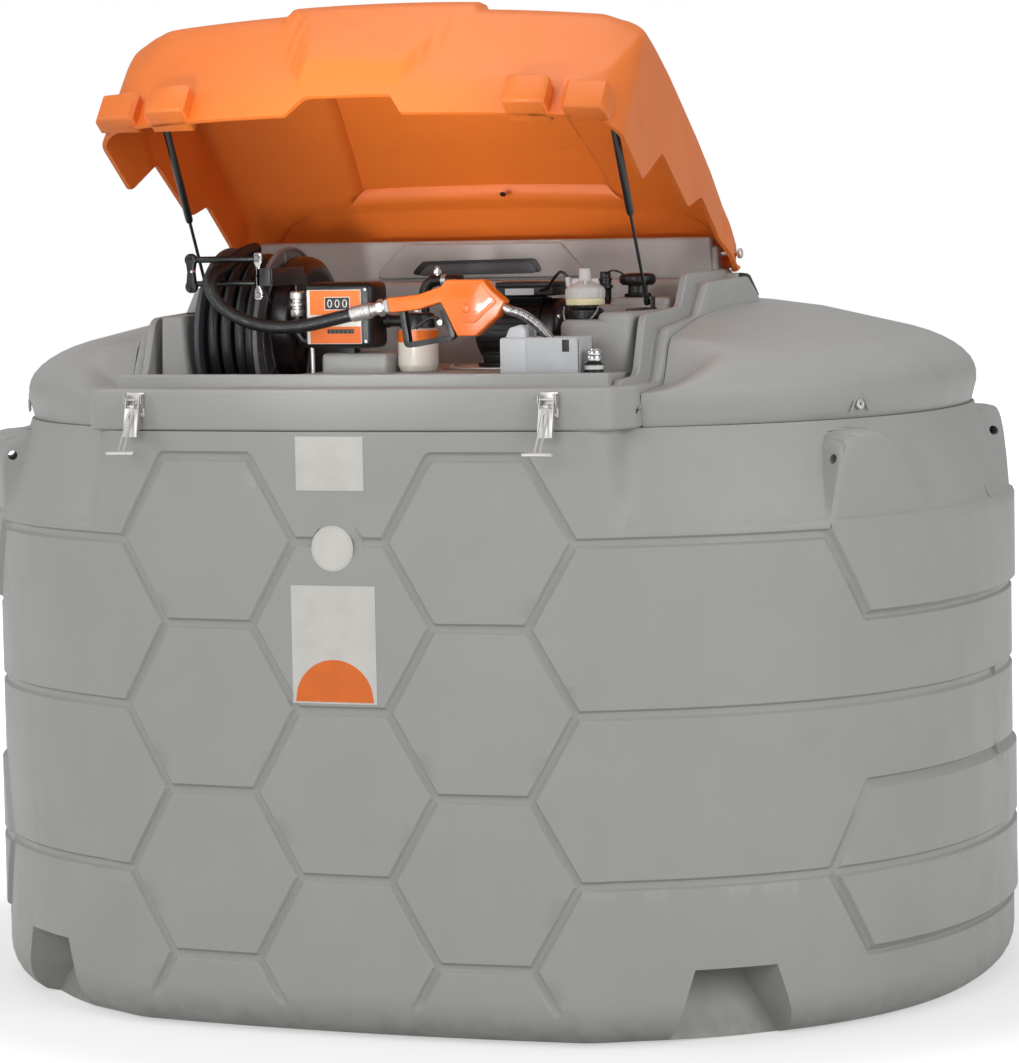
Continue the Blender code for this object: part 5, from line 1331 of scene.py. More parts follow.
@dataclass
class Lid:
    """Orange lid: one moulded skin with a raised panel, a stepped skirt, lip blocks and a hand notch."""

    half: float = 0.622
    front_y: float = -1.1
    rear_y: float = -0.15
    wall: float = 0.01
    corner: float = 0.095
    rear_corner: float = 0.034
    panel_raise: float = 0.021
    lug_flare: float = 0.013
    top_line: tuple[tuple[float, float], ...] = ((-1.1, 1.548), (-1.084, 1.598), (-1.052, 1.712),
        (-1.02, 1.774), (-0.96, 1.795), (-0.9, 1.806), (-0.795, 1.817), (-0.69, 1.821), (-0.56, 1.825),
        (-0.43, 1.824), (-0.34, 1.816), (-0.25, 1.805), (-0.175, 1.79), (-0.15, 1.765))
    side_low: tuple[tuple[float, float], ...] = ((-1.3, 1.4425), (-0.842, 1.443), (-0.834, 1.45),
        (-0.771, 1.564), (-0.758, 1.574), (-0.556, 1.584), (-0.54, 1.596), (-0.492, 1.656), (-0.476, 1.664),
        (-0.25, 1.665), (-0.205, 1.666), (-0.19, 1.672), (-0.178, 1.683), (-0.168, 1.705), (0.0, 1.705))
    front_low: tuple[tuple[float, float], ...] = ((0.0, 1.492), (0.098, 1.492), (0.104, 1.488), (0.13, 1.453),
        (0.137, 1.444), (0.145, 1.4425), (0.7, 1.4425))

    def outline(self, front: float = 0.0, side: float = 0.0, rear: float = 0.0) -> list[tuple[Vector,
            Vector]]:
        """Give the shut lid's plan as a rounded rectangle.

        Args:
            front: How far it is set in at the front.
            side: How far at the sides.
            rear: How far at the rear.

        Returns:
            Points with their outward directions.
        """
        made = []
        left, right = -self.half + side, self.half - side
        low, high = self.front_y + front, self.rear_y - rear
        near = max(self.corner - 0.7 * min(front, side), 0.018)
        far = max(self.rear_corner - 0.5 * min(rear, side), 0.01)
        corners = [((left, low), near, 180), ((right, low), near, 270), ((right, high), far, 0),
            ((left, high), far, 90)]
        counts = (190, 84, 90, 84)
        for i, ((x, y), r, start) in enumerate(corners):
            centre = Vector((x + (r if x < 0 else -r), y + (r if i < 2 else -r)))
            for k in range(13):
                angle = math.radians(start + 90 * k / 12)
                out = Vector((math.cos(angle), math.sin(angle)))
                made.append((centre + out * r, out))
            (nx, ny), nr, nstart = corners[(i + 1) % 4]
            ahead = Vector((nx + (nr if nx < 0 else -nr), ny + (nr if (i + 1) % 4 < 2 else -nr)))
            out = Vector((math.cos(math.radians(nstart)), math.sin(math.radians(nstart))))
            start_spot, end_spot = made[-1][0], ahead + out * nr
            made += [(start_spot.lerp(end_spot, k / counts[i]), out) for k in range(1, counts[i])]
        return made

    def top(self, x: float, y: float) -> float:
        """Give the crowned top's height at a place of the shut lid."""
        back = y - 0.107 * x * x * min(max(1 - (y + 1.1) / 0.2, 0.0), 1.0)
        share = min(abs(x) / 0.55, 1.05)
        return between(self.top_line, back) + 0.018 - 0.023 * share * share

    def panel(self, spot: Vector) -> Vector:
        """Give how far the raised panel lifts a place of the shut lid.

        Args:
            spot: Place on the plain skin.

        Returns:
            The lift.
        """
        if spot.z < 1.74 and spot.y < -0.95:
            half = 0.118 + (spot.z - 1.548) / 0.207 * 0.112
            inside = min(half - abs(spot.x), spot.z - 1.552)
        else:
            half = 0.228 + (spot.y + 1.025) / 0.725 * 0.1
            inside = min(half - abs(spot.x), -0.3 - spot.y)
        lift = self.panel_raise * smooth_step(-0.008, 0.008, inside)
        ahead = 1 - smooth_step(1.6, 1.745, spot.z) if spot.y < -0.95 else 0.0
        return Vector((0, -lift * 0.95 * ahead, lift * (1 - 0.6 * ahead)))

    def skin(self) -> list[list[Vector]]:
        """Give the outer skin as rings from the skirt's edge to the middle of the top."""
        front = ((0, 0.0), (0, 0.25), (0, 0.55), (0, 1.0), (0.004, 1.552), (0.01, 1.576), (0.018, 1.61),
            (0.028, 1.658), (0.039, 1.712), (0.047, 1.74), (0.058, 1.76), (0.075, 1.7745), (0.1, 1.786),
            (0.13, None))
        side = ((0, 0.0), (0.001, 0.33), (0.003, 0.66), (0.005, 1.0), (0.0065, 0.08), (0.009, 0.062),
            (0.013, 0.05), (0.019, 0.0405), (0.027, 0.032), (0.037, 0.0245), (0.05, 0.0175), (0.066, 0.011),
            (0.085, 0.006), (0.13, None))
        rear = ((0, 0.0), (0, 0.33), (0, 0.66), (0, 1.0), (0.001, 1.76), (0.003, 1.769), (0.007, 1.777),
            (0.012, 1.783), (0.018, 1.787), (0.026, 1.79), (0.036, 1.793), (0.05, 1.796), (0.07, 1.799),
            (0.1, None))
        rings = []
        for k, (f, s, r) in enumerate(zip(front, side, rear)):
            ring = []
            for base, out in self.outline(f[0], s[0], r[0]):
                ws = out.x * out.x
                wf, wr = (out.y * out.y, 0.0) if out.y < 0 else (0.0, out.y * out.y)
                bulge = 0.107 * base.x * base.x * min(max(1 - (base.y + 1.1) / 0.2, 0.0), 1.0)
                x, y = base.x, base.y + bulge
                lug = smooth_step(-0.33, -0.25, y) * (1 - smooth_step(-0.205, -0.172, y)) * max(0.0,
                    1 - k / 9) * ws
                x += math.copysign(self.lug_flare * lug, x)
                crest = between(self.top_line, max(y, -1.02))
                low = wf * between(self.front_low, abs(x)) + ws * between(self.side_low, y) + wr * 1.705
                if k == 13:
                    z = self.top(x, y)
                elif k < 4:
                    high = wf * 1.538 + ws * (crest - 0.105) + wr * 1.75
                    z = low + (high - low) * (wf * f[1] + ws * s[1] + wr * r[1])
                else:
                    crown = 0.018 - 0.023 * min(abs(x) / 0.55, 1.05) ** 2
                    z = wf * (f[1] + crown * (k - 3) / 9) + ws * (crest - s[1]) + wr * r[1]
                ring.append(Vector((x, y, z)))
            rings.append(ring)
        shares = [0.05, 0.1, 0.15, 0.2, 0.25, 0.29] + [0.32 + 0.011 * k for k in range(23)] + [0.6, 0.66,
            0.74, 0.82, 0.9, 0.97]
        last = rings[-1]
        for share in shares:
            ring = []
            for spot in last:
                middle = Vector((spot.x * 0.02, min(max(spot.y, -0.8), -0.45)))
                x, y = spot.x + (middle.x - spot.x) * share, spot.y + (middle.y - spot.y) * share
                ring.append(Vector((x, y, self.top(x, y))))
            rings.append(ring)
        return [[spot + self.panel(spot) for spot in ring] for ring in rings]

    def thick(self, rings: list[list[Vector]]) -> bmesh.types.BMesh:
        """Give the skin its wall, set back along the outer normals and joined at the skirt's edge.

        Args:
            rings: The outer skin.

        Returns:
            The mesh of both skins.
        """
        bm = bmesh.new()
        outer = [[bm.verts.new(spot) for spot in ring] for ring in rings]
        count = len(rings[0])
        for lower, upper in zip(outer, outer[1:]):
            for i in range(count):
                bm.faces.new((lower[i], lower[(i + 1) % count], upper[(i + 1) % count], upper[i]))
        bm.faces.new(outer[-1])
        bm.normal_update()
        if outer[-1][0].normal.z < 0:
            bmesh.ops.reverse_faces(bm, faces=bm.faces)
            bm.normal_update()
        inner = []
        for ring in outer:
            inner.append([bm.verts.new(vert.co - vert.normal * self.wall) for vert in ring])
        for lower, upper in zip(inner, inner[1:]):
            for i in range(count):
                bm.faces.new((lower[i], upper[i], upper[(i + 1) % count], lower[(i + 1) % count]))
        bm.faces.new(inner[-1][::-1])
        for i in range(count):
            bm.faces.new((outer[0][i], inner[0][i], inner[0][(i + 1) % count], outer[0][(i + 1) % count]))
        bmesh.ops.triangulate(bm, faces=[face for face in bm.faces if len(face.verts) > 4])
        return bm

    def build(self) -> bpy.types.Object:
        """Make the lid open, with its wall thickness, lip blocks and drain plug."""
        shell = Shaper("moulded_lid", "lid")
        shell.add(self.thick(self.skin()), LID_POLYETHYLENE)
        for side in (-1, 1):
            for inner, outer, front in ((0.375, 0.474, -1.126), (0.507, 0.605, -1.104)):
                a, b = side * inner, side * outer
                lean = 0.022 if inner > 0.5 else 0.012
                block = [(a, -1.045), (b, -1.045), (b, front + lean), (b - side * 0.008, front + lean * 0.4),
                    (a + side * 0.01, front), (a, front + 0.008)]
                shell.prism(block if side > 0 else block[::-1], 1.4425, 1.518, LID_POLYETHYLENE, bevel=0.008)
        self.drain_plug(shell)
        bmesh.ops.transform(shell.bm, matrix=opened(), verts=shell.bm.verts)
        return shell.finish(["lid"], "orange_polyethylene", 42)

    def drain_plug(self, shell: Shaper) -> None:
        """Add the dark drain plug in the lid's underside."""
        shell.turned([(0, 0.0), (0.0075, 0.0), (0.0075, 0.0035), (0, 0.0035)], (0.06, -0.33), BLACK_NYLON,
            sides=24, turn=Matrix.Translation((0, 0, 1.7985)))


@dataclass
class GasStrut:
    """Gas strut: black barrel with end fittings on a black rod."""

    side: int
    x: float = 0.54
    foot: tuple[float, float] = (-0.612, 1.606)
    head: tuple[float, float] = (-0.861, 2.075)
    barrel: float = 0.31

    def build(self) -> None:
        """Make the rod and the barrel along the line between their pivots."""
        name = "left" if self.side < 0 else "right"
        foot, head = Vector((self.side * self.x, *self.foot)), Vector((self.side * self.x, *self.head))
        reach = (head - foot).length
        turn = aimed(foot, (head - foot).normalized())
        start = reach - self.barrel
        rod = Shaper("strut_rod_piece_" + name, "strut_rod_" + name)
        rod.turned([(0, start + 0.02), (0.0038, start + 0.02), (0.0038, 0.022), (0.006, 0.02), (0.006, 0.006),
            (0.0078, 0.003), (0.0078, -0.006), (0.006, -0.008), (0, -0.008)], (0, 0), BLACK_POWDER, sides=24,
            turn=turn)
        rod.finish(["strut_rod_" + name], "black_painted_steel")
        barrel = Shaper("strut_barrel_" + name, "strut_cylinder_" + name)
        barrel.turned([(0, reach + 0.008), (0.006, reach + 0.007), (0.0078, reach + 0.004),
            (0.0078, reach - 0.008), (0.0055, reach - 0.012), (0.0055, reach - 0.017), (0.0082, reach - 0.02),
            (0.0088, reach - 0.024), (0.0088, start + 0.008), (0.008, start + 0.004),
            (0.0066, start + 0.0005), (0.0048, start), (0.0048, start + 0.002)], (0, 0), BLACK_POWDER,
            sides=28, turn=turn)
        barrel.finish(["strut_cylinder_" + name], "black_painted_steel")


@dataclass
class ToggleLatch:
    """Zinc-plated toggle latch: plate with rivets, channel lever and a T-shaped hook."""

    side: int

    def build(self) -> None:
        """Make the plate, the lever and the hook of one latch, hanging open."""
        name = "left" if self.side < 0 else "right"
        x = self.side * 0.49
        wall = PLAN.face_y(0.469) - 0.0005
        base = Shaper("latch_plate_" + name)
        base.box((x - 0.0208, wall - 0.002, 1.373), (x + 0.0208, wall, 1.4275), ZINC_PLATE, 0.0008, 2)
        for ear in (-1, 1):
            low, high = sorted((x + ear * 0.0191, x + ear * 0.0209))
            cheek = filleted([(wall - 0.001, 1.388), (wall - 0.001, 1.4265), (wall - 0.02, 1.421),
                (wall - 0.02, 1.403)], 0.006, 4, closed=True)
            base.prism(cheek, low, high, ZINC_PLATE, Axis.X, 0.0003, 1)
            for z in (1.379, 1.4215):
                base.turned([(0, 0.0046), (0.0022, 0.0042), (0.0036, 0.0028), (0.0038, 0.0018), (0, 0.0018)],
                    (0, 0), ZINC_PLATE, sides=16, turn=Matrix.Translation((x + ear * 0.0115, wall, z))
                    @ Matrix.Rotation(math.pi / 2, 4, "X"))
        base.finish(["latch_base_" + name], "zinc_plated_steel")
        axis = Vector((x, wall - 0.0138, 1.412))
        lean = Matrix.Translation(axis) @ Matrix.Rotation(math.radians(-12), 4, "X")
        lever = Shaper("latch_channel_" + name, "latch_lever_" + name)
        lever.turned([(0, -0.0187), (0.0025, -0.0187), (0.0025, 0.0187), (0, 0.0187)], (0, 0), ZINC_PLATE,
            Axis.X, 16, turn=lean)
        for arm in (-1, 1):
            low, high = sorted((arm * 0.0151, arm * 0.0169))
            cheek = filleted([(-0.006, 0.006), (0.006, 0.006), (0.0062, -0.06), (0.003, -0.0848),
                (-0.0062, -0.0848)], 0.004, 4, closed=True)
            lever.prism(cheek, low, high, ZINC_PLATE, Axis.X, 0.0003, 1, turn=lean)
        lever.box((-0.0165, -0.0061, -0.0846), (0.0165, -0.0042, -0.02), ZINC_PLATE, 0.0007, 2, turn=lean)
        lever.turned([(0, -0.0158), (0.0025, -0.0158), (0.0025, 0.0158), (0, 0.0158)], (0, -0.016),
            ZINC_PLATE, Axis.X, 16, turn=lean)
        lever.finish(["latch_lever_" + name], "zinc_plated_steel")
        pivot = lean @ Vector((0, 0, -0.016))
        swing = Matrix.Translation(pivot) @ Matrix.Rotation(math.radians(-35), 4, "X")
        hook = Shaper("latch_t_hook_" + name, "latch_hook_" + name)
        hook.turned([(0.0032, -0.0058), (0.0056, -0.0058), (0.006, -0.0052), (0.006, 0.0052),
            (0.0056, 0.0058), (0.0032, 0.0058), (0.0032, -0.0058)], (0, 0), ZINC_PLATE, Axis.X, 20,
            turn=swing)
        for rod in (-0.0062, 0.0062):
            hook.tube([(rod * 0.6, 0, -0.005), (rod * 0.6, 0, -0.014), (rod, 0, -0.022), (rod, 0, -0.112),
                (rod, 0, -0.119)], 0.0024, ZINC_PLATE, 10, turn=swing)
        hook.tube([(-0.034, 0, -0.121), (-0.0325, 0, -0.12), (0, 0, -0.1195), (0.0325, 0, -0.12),
            (0.034, 0, -0.121)], 0.0044, ZINC_PLATE, 14, turn=swing)
        hook.finish(["latch_hook_" + name], "zinc_plated_steel")


# Pump bay

@dataclass
class HoseReel:
    """Spring-driven hose reel: ribbed flanges, hose turns, spring case and black frame."""

    y: float = -0.62
    z: float = 1.53
    left: float = -0.484
    right: float = -0.326
    radius: float = 0.21
    hose_radius: float = 0.015

    def drum(self) -> None:
        """Make the drum with its two ribbed flanges."""
        piece = Shaper("ribbed_drum", "reel")
        centre = (self.y, self.z)
        piece.turned([(0.0126, self.left + 0.002), (0.11, self.left + 0.002), (0.11, self.right - 0.002),
            (0.0126, self.right - 0.002), (0.0126, self.left + 0.002)], centre, DARK_NYLON, Axis.X, 64)
        for outer, sign, finish in ((self.left, 1, DARK_NYLON), (self.right, -1, REEL_GREY)):
            def at(depth: float) -> float:
                """Give the place at a depth behind the flange's outer face."""
                return outer + sign * depth
            profile = [(0.0126, at(0.0116)), (self.radius - 0.002, at(0.0116)), (self.radius, at(0.01)),
                (self.radius, at(0.0016)), (self.radius - 0.0016, at(0.0)), (self.radius - 0.006, at(0.0)),
                (self.radius - 0.008, at(0.0016)), (self.radius - 0.009, at(0.0055)), (0.066, at(0.0055)),
                (0.063, at(0.003)), (0.06, at(0.0012)), (0.04, at(0.0004)), (0.0126, at(0.0004)),
                (0.0126, at(0.0116))]
            piece.turned(profile, centre, finish, Axis.X, 96)
            for k in range(16):
                turn = spun((0, self.y, self.z), 22.5 * k + 9, Axis.X)
                low, high = sorted((at(0.0009), at(0.006)))
                piece.box((low, -0.0016, 0.062), (high, 0.0016, self.radius - 0.007), finish, 0.0007, 2,
                    turn=turn)
            low, high = sorted((at(0.0014), at(0.006)))
            for r in (0.118, 0.165):
                piece.turned([(r - 0.0014, high), (r - 0.0014, low), (r + 0.0014, low), (r + 0.0014, high)]
                    if sign > 0 else [(r - 0.0014, low), (r - 0.0014, high), (r + 0.0014, high),
                    (r + 0.0014, low)], centre, finish, Axis.X, 96)
        piece.finish(["reel_drum"], "dark_grey_plastic")

    def turns(self) -> None:
        """Make the hose's turns on the drum: three layers of one hose."""
        piece = Shaper("hose_turns", "reel")
        low, high = self.left + 0.0123, self.right - 0.0123
        pitch = (high - low - 0.0306) / 3
        path = []
        count = 4
        for layer, radius in enumerate((0.1256, 0.153, 0.1815)):
            for k in range(count * 48):
                share = k / (count * 48)
                across = 0.0153 + pitch * min(count * share, 3.0)
                lane = high - across if layer % 2 else low + across
                angle = math.radians(90) + 2 * math.pi * k / 48
                path.append((lane, self.y + radius * math.cos(angle), self.z + radius * math.sin(angle)))
        piece.tube(path, self.hose_radius - 0.0003, HOSE_RUBBER, 12)
        piece.finish(["hose_winding"], "hose_rubber", 60)

    def frame(self) -> None:
        """Make the frame, axle and spring case."""
        ground = 1.2956
        piece = Shaper("reel_stand")
        centre = (self.y, self.z)
        piece.box((-0.5, -0.8, ground), (-0.235, -0.44, ground + 0.006), BLACK_POWDER, 0.001, 2)
        upright = filleted([(self.y - 0.12, ground + 0.003), (self.y + 0.12, ground + 0.003),
            (self.y + 0.05, self.z + 0.06), (self.y - 0.05, self.z + 0.06)], 0.012, 5, closed=True)
        piece.prism(upright, -0.262, -0.254, BLACK_POWDER, Axis.X, 0.001, 2)
        piece.turned([(0, self.left - 0.0155), (0.02, self.left - 0.0155), (0.022, self.left - 0.0135),
            (0.022, self.left - 0.0075), (0.012, self.left - 0.006), (0.012, -0.258), (0, -0.258)], centre,
            BLACK_POWDER, Axis.X, 32)
        piece.box((-0.262, -0.892, self.z + 0.126), (-0.256, -0.71, self.z + 0.166), BLACK_POWDER, 0.001, 2)
        piece.box((-0.2947, -0.892, self.z + 0.126), (-0.257, -0.886, self.z + 0.166), BLACK_POWDER, 0.001, 2)
        brace = filleted([(self.y - 0.12, self.z - 0.02), (self.y - 0.02, self.z - 0.02),
            (self.y - 0.08, self.z + 0.15), (self.y - 0.14, self.z + 0.15)], 0.01, 4, closed=True)
        piece.prism(brace, -0.2615, -0.2565, BLACK_POWDER, Axis.X, 0.001, 2)
        piece.bolt((-0.254, self.y, self.z), (1, 0, 0), 0.019, ZINC_PLATE)
        piece.finish(["reel_frame"], "black_painted_steel")
        case = Shaper("spring_housing")
        low, high = self.right + 0.006, -0.2626
        case.turned([(0, low), (0.146, low), (0.154, low + 0.006), (0.154, high - 0.02), (0.15, high - 0.009),
            (0.142, high - 0.003), (0.12, high), (0.07, high), (0.066, high - 0.004), (0, high - 0.004)],
            (self.y, self.z + 0.033), SPRING_BLACK, Axis.X, 96)
        case.finish(["spring_case"], "black_plastic")

    def build(self) -> None:
        """Make the whole reel."""
        self.drum()
        self.turns()
        self.frame()


@dataclass
class HoseGuide:
    """Roller guide: a double-knob black plate, two rollers and a bright bracket with bolts."""

    y: float = -0.88

    def build(self) -> None:
        """Make the guide and its bright end plate."""
        piece = Shaper("roller_guide")
        middle, radius = -0.4605, 0.0145
        knobs = []
        for angle in range(-40, 221, 20):
            knobs.append((middle + radius * math.cos(math.radians(angle)),
                1.717 + radius * math.sin(math.radians(angle))))
        knobs += [(middle - 0.0085, 1.69)]
        for angle in range(140, 401, 20):
            knobs.append((middle + radius * math.cos(math.radians(angle)),
                1.656 + radius * math.sin(math.radians(angle))))
        knobs += [(middle + 0.0085, 1.69)]
        piece.prism(filleted(knobs, 0.003, 3, closed=True), self.y - 0.01, self.y + 0.004, BLACK_NYLON,
            Axis.Y, 0.003, 3)
        for x, z in ((middle, 1.723), (middle + 0.002, 1.69), (middle, 1.65)):
            piece.turned([(0, self.y - 0.015), (0.0034, self.y - 0.0148), (0.005, self.y - 0.013),
                (0.0052, self.y - 0.0095), (0, self.y - 0.0095)], (x, z), BLACK_POWDER, Axis.Y, 20)
        for z, r in ((1.717, 0.0068), (1.6625, 0.0058)):
            piece.turned([(0, -0.462), (r, -0.462), (r, -0.456), (r * 1.08, -0.455), (r * 1.08, -0.306),
                (r, -0.305), (r, -0.3021), (0, -0.3021)], (self.y, z), BLACK_NYLON, Axis.X, 28)
        piece.turned([(0, self.y - 0.0155), (0.0036, self.y - 0.0155), (0.0044, self.y - 0.0135),
            (0.0044, self.y)], (-0.4545, 1.6905), ZINC_PLATE, Axis.Y, 6)
        piece.finish(["hose_guide"], "black_painted_steel")
        plate = Shaper("bright_bracket")
        outline = filleted([(-0.301, 1.7318), (-0.282, 1.7318), (-0.282, 1.708), (-0.2865, 1.7),
            (-0.2865, 1.654), (-0.282, 1.646), (-0.282, 1.6242), (-0.301, 1.6242), (-0.301, 1.646),
            (-0.2965, 1.654), (-0.2965, 1.7), (-0.301, 1.708)], 0.007, 5, closed=True)
        plate.prism(outline, self.y - 0.012, self.y - 0.004, CHROME, Axis.Y, 0.0016, 3)
        for z in (1.719, 1.636):
            plate.bolt((-0.2915, self.y - 0.0118, z), (0, -1, 0), 0.0125, CHROME, 0.006)
        plate.turned([(0, self.y - 0.012), (0.0042, self.y - 0.012), (0.0046, self.y - 0.009),
            (0.0046, self.y)], (-0.2915, 1.679), CHROME, Axis.Y, 20)
        plate.box((-0.289, self.y - 0.004, 1.676), (-0.279, self.y + 0.004, 1.681), CHROME, 0.001, 2)
        plate.finish(["guide_end_plate"], "chromed_steel")


HOSE_ROUTE = [(-0.398, -0.665, 1.7375), (-0.398, -0.73, 1.729), (-0.397, -0.8, 1.71), (-0.396, -0.86, 1.693),
    (-0.394, -0.91, 1.682), (-0.389, -0.938, 1.66), (-0.374, -0.945, 1.629), (-0.345, -0.945, 1.602),
    (-0.309, -0.945, 1.583), (-0.267, -0.945, 1.57), (-0.223, -0.945, 1.5645), (-0.174, -0.945, 1.5655),
    (-0.125, -0.948, 1.573), (-0.08, -0.95, 1.5825), (-0.04, -0.95, 1.591)]


@dataclass
class DeliveryHose:
    """Ribbed rubber hose from the reel to the nozzle, with its crimped ferrule and swivel nut."""

    radius: float = 0.015
    points: int = 36

    def build(self) -> None:
        route = smooth_route(HOSE_ROUTE, self.points)
        fine = smooth_route([tuple(p) for p in route], 640)
        piece = Shaper("ribbed_hose")

        def ribbed(along: float) -> float:
            """Give the hose's radius along its length: low ribs 4 mm apart."""
            return self.radius - 0.0005 + 0.0005 * math.cos(2 * math.pi * along / (4.0 * MM))

        piece.tube(fine, ribbed, HOSE_RUBBER, 24)
        hose = piece.finish((), "hose_rubber", 70)
        end, along = route[-1], (route[-1] - route[-2]).normalized()
        turn = aimed(end, along)
        ferrule = Shaper("crimped_ferrule")
        profile = [(0, 0.0004), (0.015, 0.0004), (0.017, 0.002)]
        for k in range(5):
            start = 0.004 + k * 0.0086
            profile += [(0.0178, start), (0.018, start + 0.0012), (0.018, start + 0.0048),
                (0.0172, start + 0.0058), (0.0168, start + 0.0072)]
        profile += [(0.0176, 0.048), (0.016, 0.05), (0, 0.05)]
        ferrule.turned(profile, (0, 0), ZINC_PLATE, sides=40, turn=turn)
        crimped = ferrule.finish(["hose_ferrule"], "zinc_plated_steel", 30)
        swivel = Shaper("swivel_nut")
        swivel.turned([(0, 0.0503), (0.0135, 0.0503), (0.015, 0.0515), (0.015, 0.056), (0.0132, 0.0575),
            (0.0132, 0.062), (0.015, 0.064), (0.015, 0.068), (0, 0.068)], (0, 0), ZINC_PLATE, sides=32,
            turn=turn)
        swivel.turned([(0, 0.067), (0.0175, 0.0672), (0.0195, 0.0695), (0.0195, 0.079), (0.0175, 0.0812),
            (0, 0.0812)], (0, 0), ZINC_PLATE, sides=6, turn=turn)
        swivel.turned([(0, 0.0805), (0.015, 0.0808), (0.015, 0.086), (0, 0.0865)], (0, 0), ZINC_PLATE,
            sides=32, turn=turn)
        swivel.turned([(0, 0.0855), (0.0165, 0.0857), (0.018, 0.087), (0.018, 0.0955), (0.016, 0.0979),
            (0, 0.0979)], (0, 0), ZINC_PLATE, sides=8, turn=turn)
        swivel.finish(["hose_swivel"], "zinc_plated_steel", 30)
        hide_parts("delivery_hose")


@dataclass
class FillingNozzle:
    """Hand nozzle: orange enamelled body, black guard, bright trigger, ribbed spout and its grey holder."""

    y: float = -0.95
    outline: tuple[tuple[float, float], ...] = ((0.1255, 1.6345), (0.1822, 1.652), (0.1944, 1.6669),
        (0.2823, 1.6659), (0.3, 1.6449), (0.3317, 1.6183), (0.3147, 1.5856), (0.2625, 1.5421),
        (0.2184, 1.5424), (0.1815, 1.617), (0.1248, 1.601))

    def body(self) -> None:
        """Make the body with rounded flanks, its cap, side boss and nose ring."""
        route = smooth_route(HOSE_ROUTE, 36)
        along = (route[-1] - route[-2]).normalized()
        start = route[-1] + along * 0.0983
        low, high = ((start.x + sign * along.z * 0.017, start.z - sign * along.x * 0.017) for sign in (1, -1))
        outline = filleted([low, high, *self.outline], 0.006, 4, closed=True)
        piece = Shaper("enamelled_nozzle")
        piece.prism(outline, self.y - 0.0195, self.y + 0.0195, ORANGE_ENAMEL, Axis.Y, 0.0075, 4)
        field = filleted([(0.201, 1.66), (0.278, 1.659), (0.293, 1.64), (0.315, 1.617), (0.262, 1.572),
            (0.235, 1.572), (0.212, 1.621)], 0.008, 4, closed=True)
        piece.prism(field, self.y - 0.0212, self.y - 0.015, ORANGE_ENAMEL, Axis.Y, 0.0018, 2)
        piece.turned([(0, self.y - 0.0236), (0.0085, self.y - 0.0234), (0.0105, self.y - 0.0215),
            (0.011, self.y - 0.018), (0, self.y - 0.018)], (0.242, 1.604), ORANGE_ENAMEL, Axis.Y, 32)
        piece.turned([(0, self.y - 0.0222), (0.003, self.y - 0.0222), (0.0036, self.y - 0.02),
            (0, self.y - 0.02)], (0.28, 1.608), ZINC_PLATE, Axis.Y, 16)
        piece.finish(["nozzle_body"], "orange_paint", 45)

    def guard(self) -> None:
        """Make the black guard, the trigger with its link and the spout."""
        piece = Shaper("moulded_guard")
        path = [(0.0905, 1.6105), (0.086, 1.596), (0.092, 1.556), (0.096, 1.5235), (0.108, 1.524),
            (0.15, 1.531), (0.196, 1.5385), (0.205, 1.544), (0.196, 1.565), (0.18, 1.6)]
        outer, inner = [], []
        line = [Vector(p) for p in filleted(path, 0.012, 4)]
        for i, spot in enumerate(line):
            ahead = (line[min(i + 1, len(line) - 1)] - line[max(i - 1, 0)]).normalized()
            aside = Vector((ahead.y, -ahead.x)) * 0.0062
            outer.append(tuple(spot + aside))
            inner.append(tuple(spot - aside))
        piece.prism(outer + inner[::-1], self.y - 0.0115, self.y + 0.0115, BLACK_NYLON, Axis.Y, 0.0028, 3)
        piece.turned([(0, self.y - 0.014), (0.0034, self.y - 0.0138), (0.0044, self.y - 0.0118),
            (0, self.y - 0.011)], (0.0868, 1.601), ZINC_PLATE, Axis.Y, 16)
        piece.finish(["nozzle_guard"], "black_plastic", 40)
        pivot = Vector((0.1748, self.y, 1.5727))
        lever = Shaper("curved_trigger", "trigger")
        lever.turned([(0, self.y - 0.0088), (0.006, self.y - 0.0088), (0.006, self.y + 0.0088),
            (0, self.y + 0.0088)], (pivot.x, pivot.z), ZINC_PLATE, Axis.Y, 20)
        curve = smooth_route([tuple(pivot), (0.164, self.y, 1.5815), (0.152, self.y, 1.5835),
            (0.138, self.y, 1.5775), (0.125, self.y, 1.569), (0.114, self.y, 1.56)], 24)
        lever.tube(curve, 0.0039, BLACK_NYLON, 12)
        lever.finish(["nozzle_trigger"], "zinc_plated_steel")

    def spout_line(self) -> list[tuple[float, float, float]]:
        """Give the spout's middle line from the nose down into the holder."""
        top, low = Vector((0.3317, self.y, 1.6183)), Vector((0.3147, self.y, 1.5856))
        ahead = (low - top).cross(Vector((0, 1, 0))).normalized()
        root = top.lerp(low, 0.42) + ahead * 0.0003
        return [tuple(root), tuple(root + ahead * 0.014), (0.3651, self.y, 1.589), (0.395, self.y, 1.57),
            (0.418, self.y, 1.548), (0.436, self.y, 1.524), (0.446, self.y, 1.498)]

    def spout(self) -> None:
        """Make the corrugated metal spout."""
        piece = Shaper("ribbed_spout")

        def ribbed(along: float) -> float:
            """Give the spout's radius: smooth at its root, then ribs 3.2 mm apart."""
            if along < 0.016:
                return 0.0112
            return 0.0104 + 0.001 * math.cos(2 * math.pi * along / (3.2 * MM))

        piece.tube(smooth_route(self.spout_line(), 330), ribbed, CHROME, 24)
        piece.finish(["nozzle_spout"], "chromed_steel", 60)

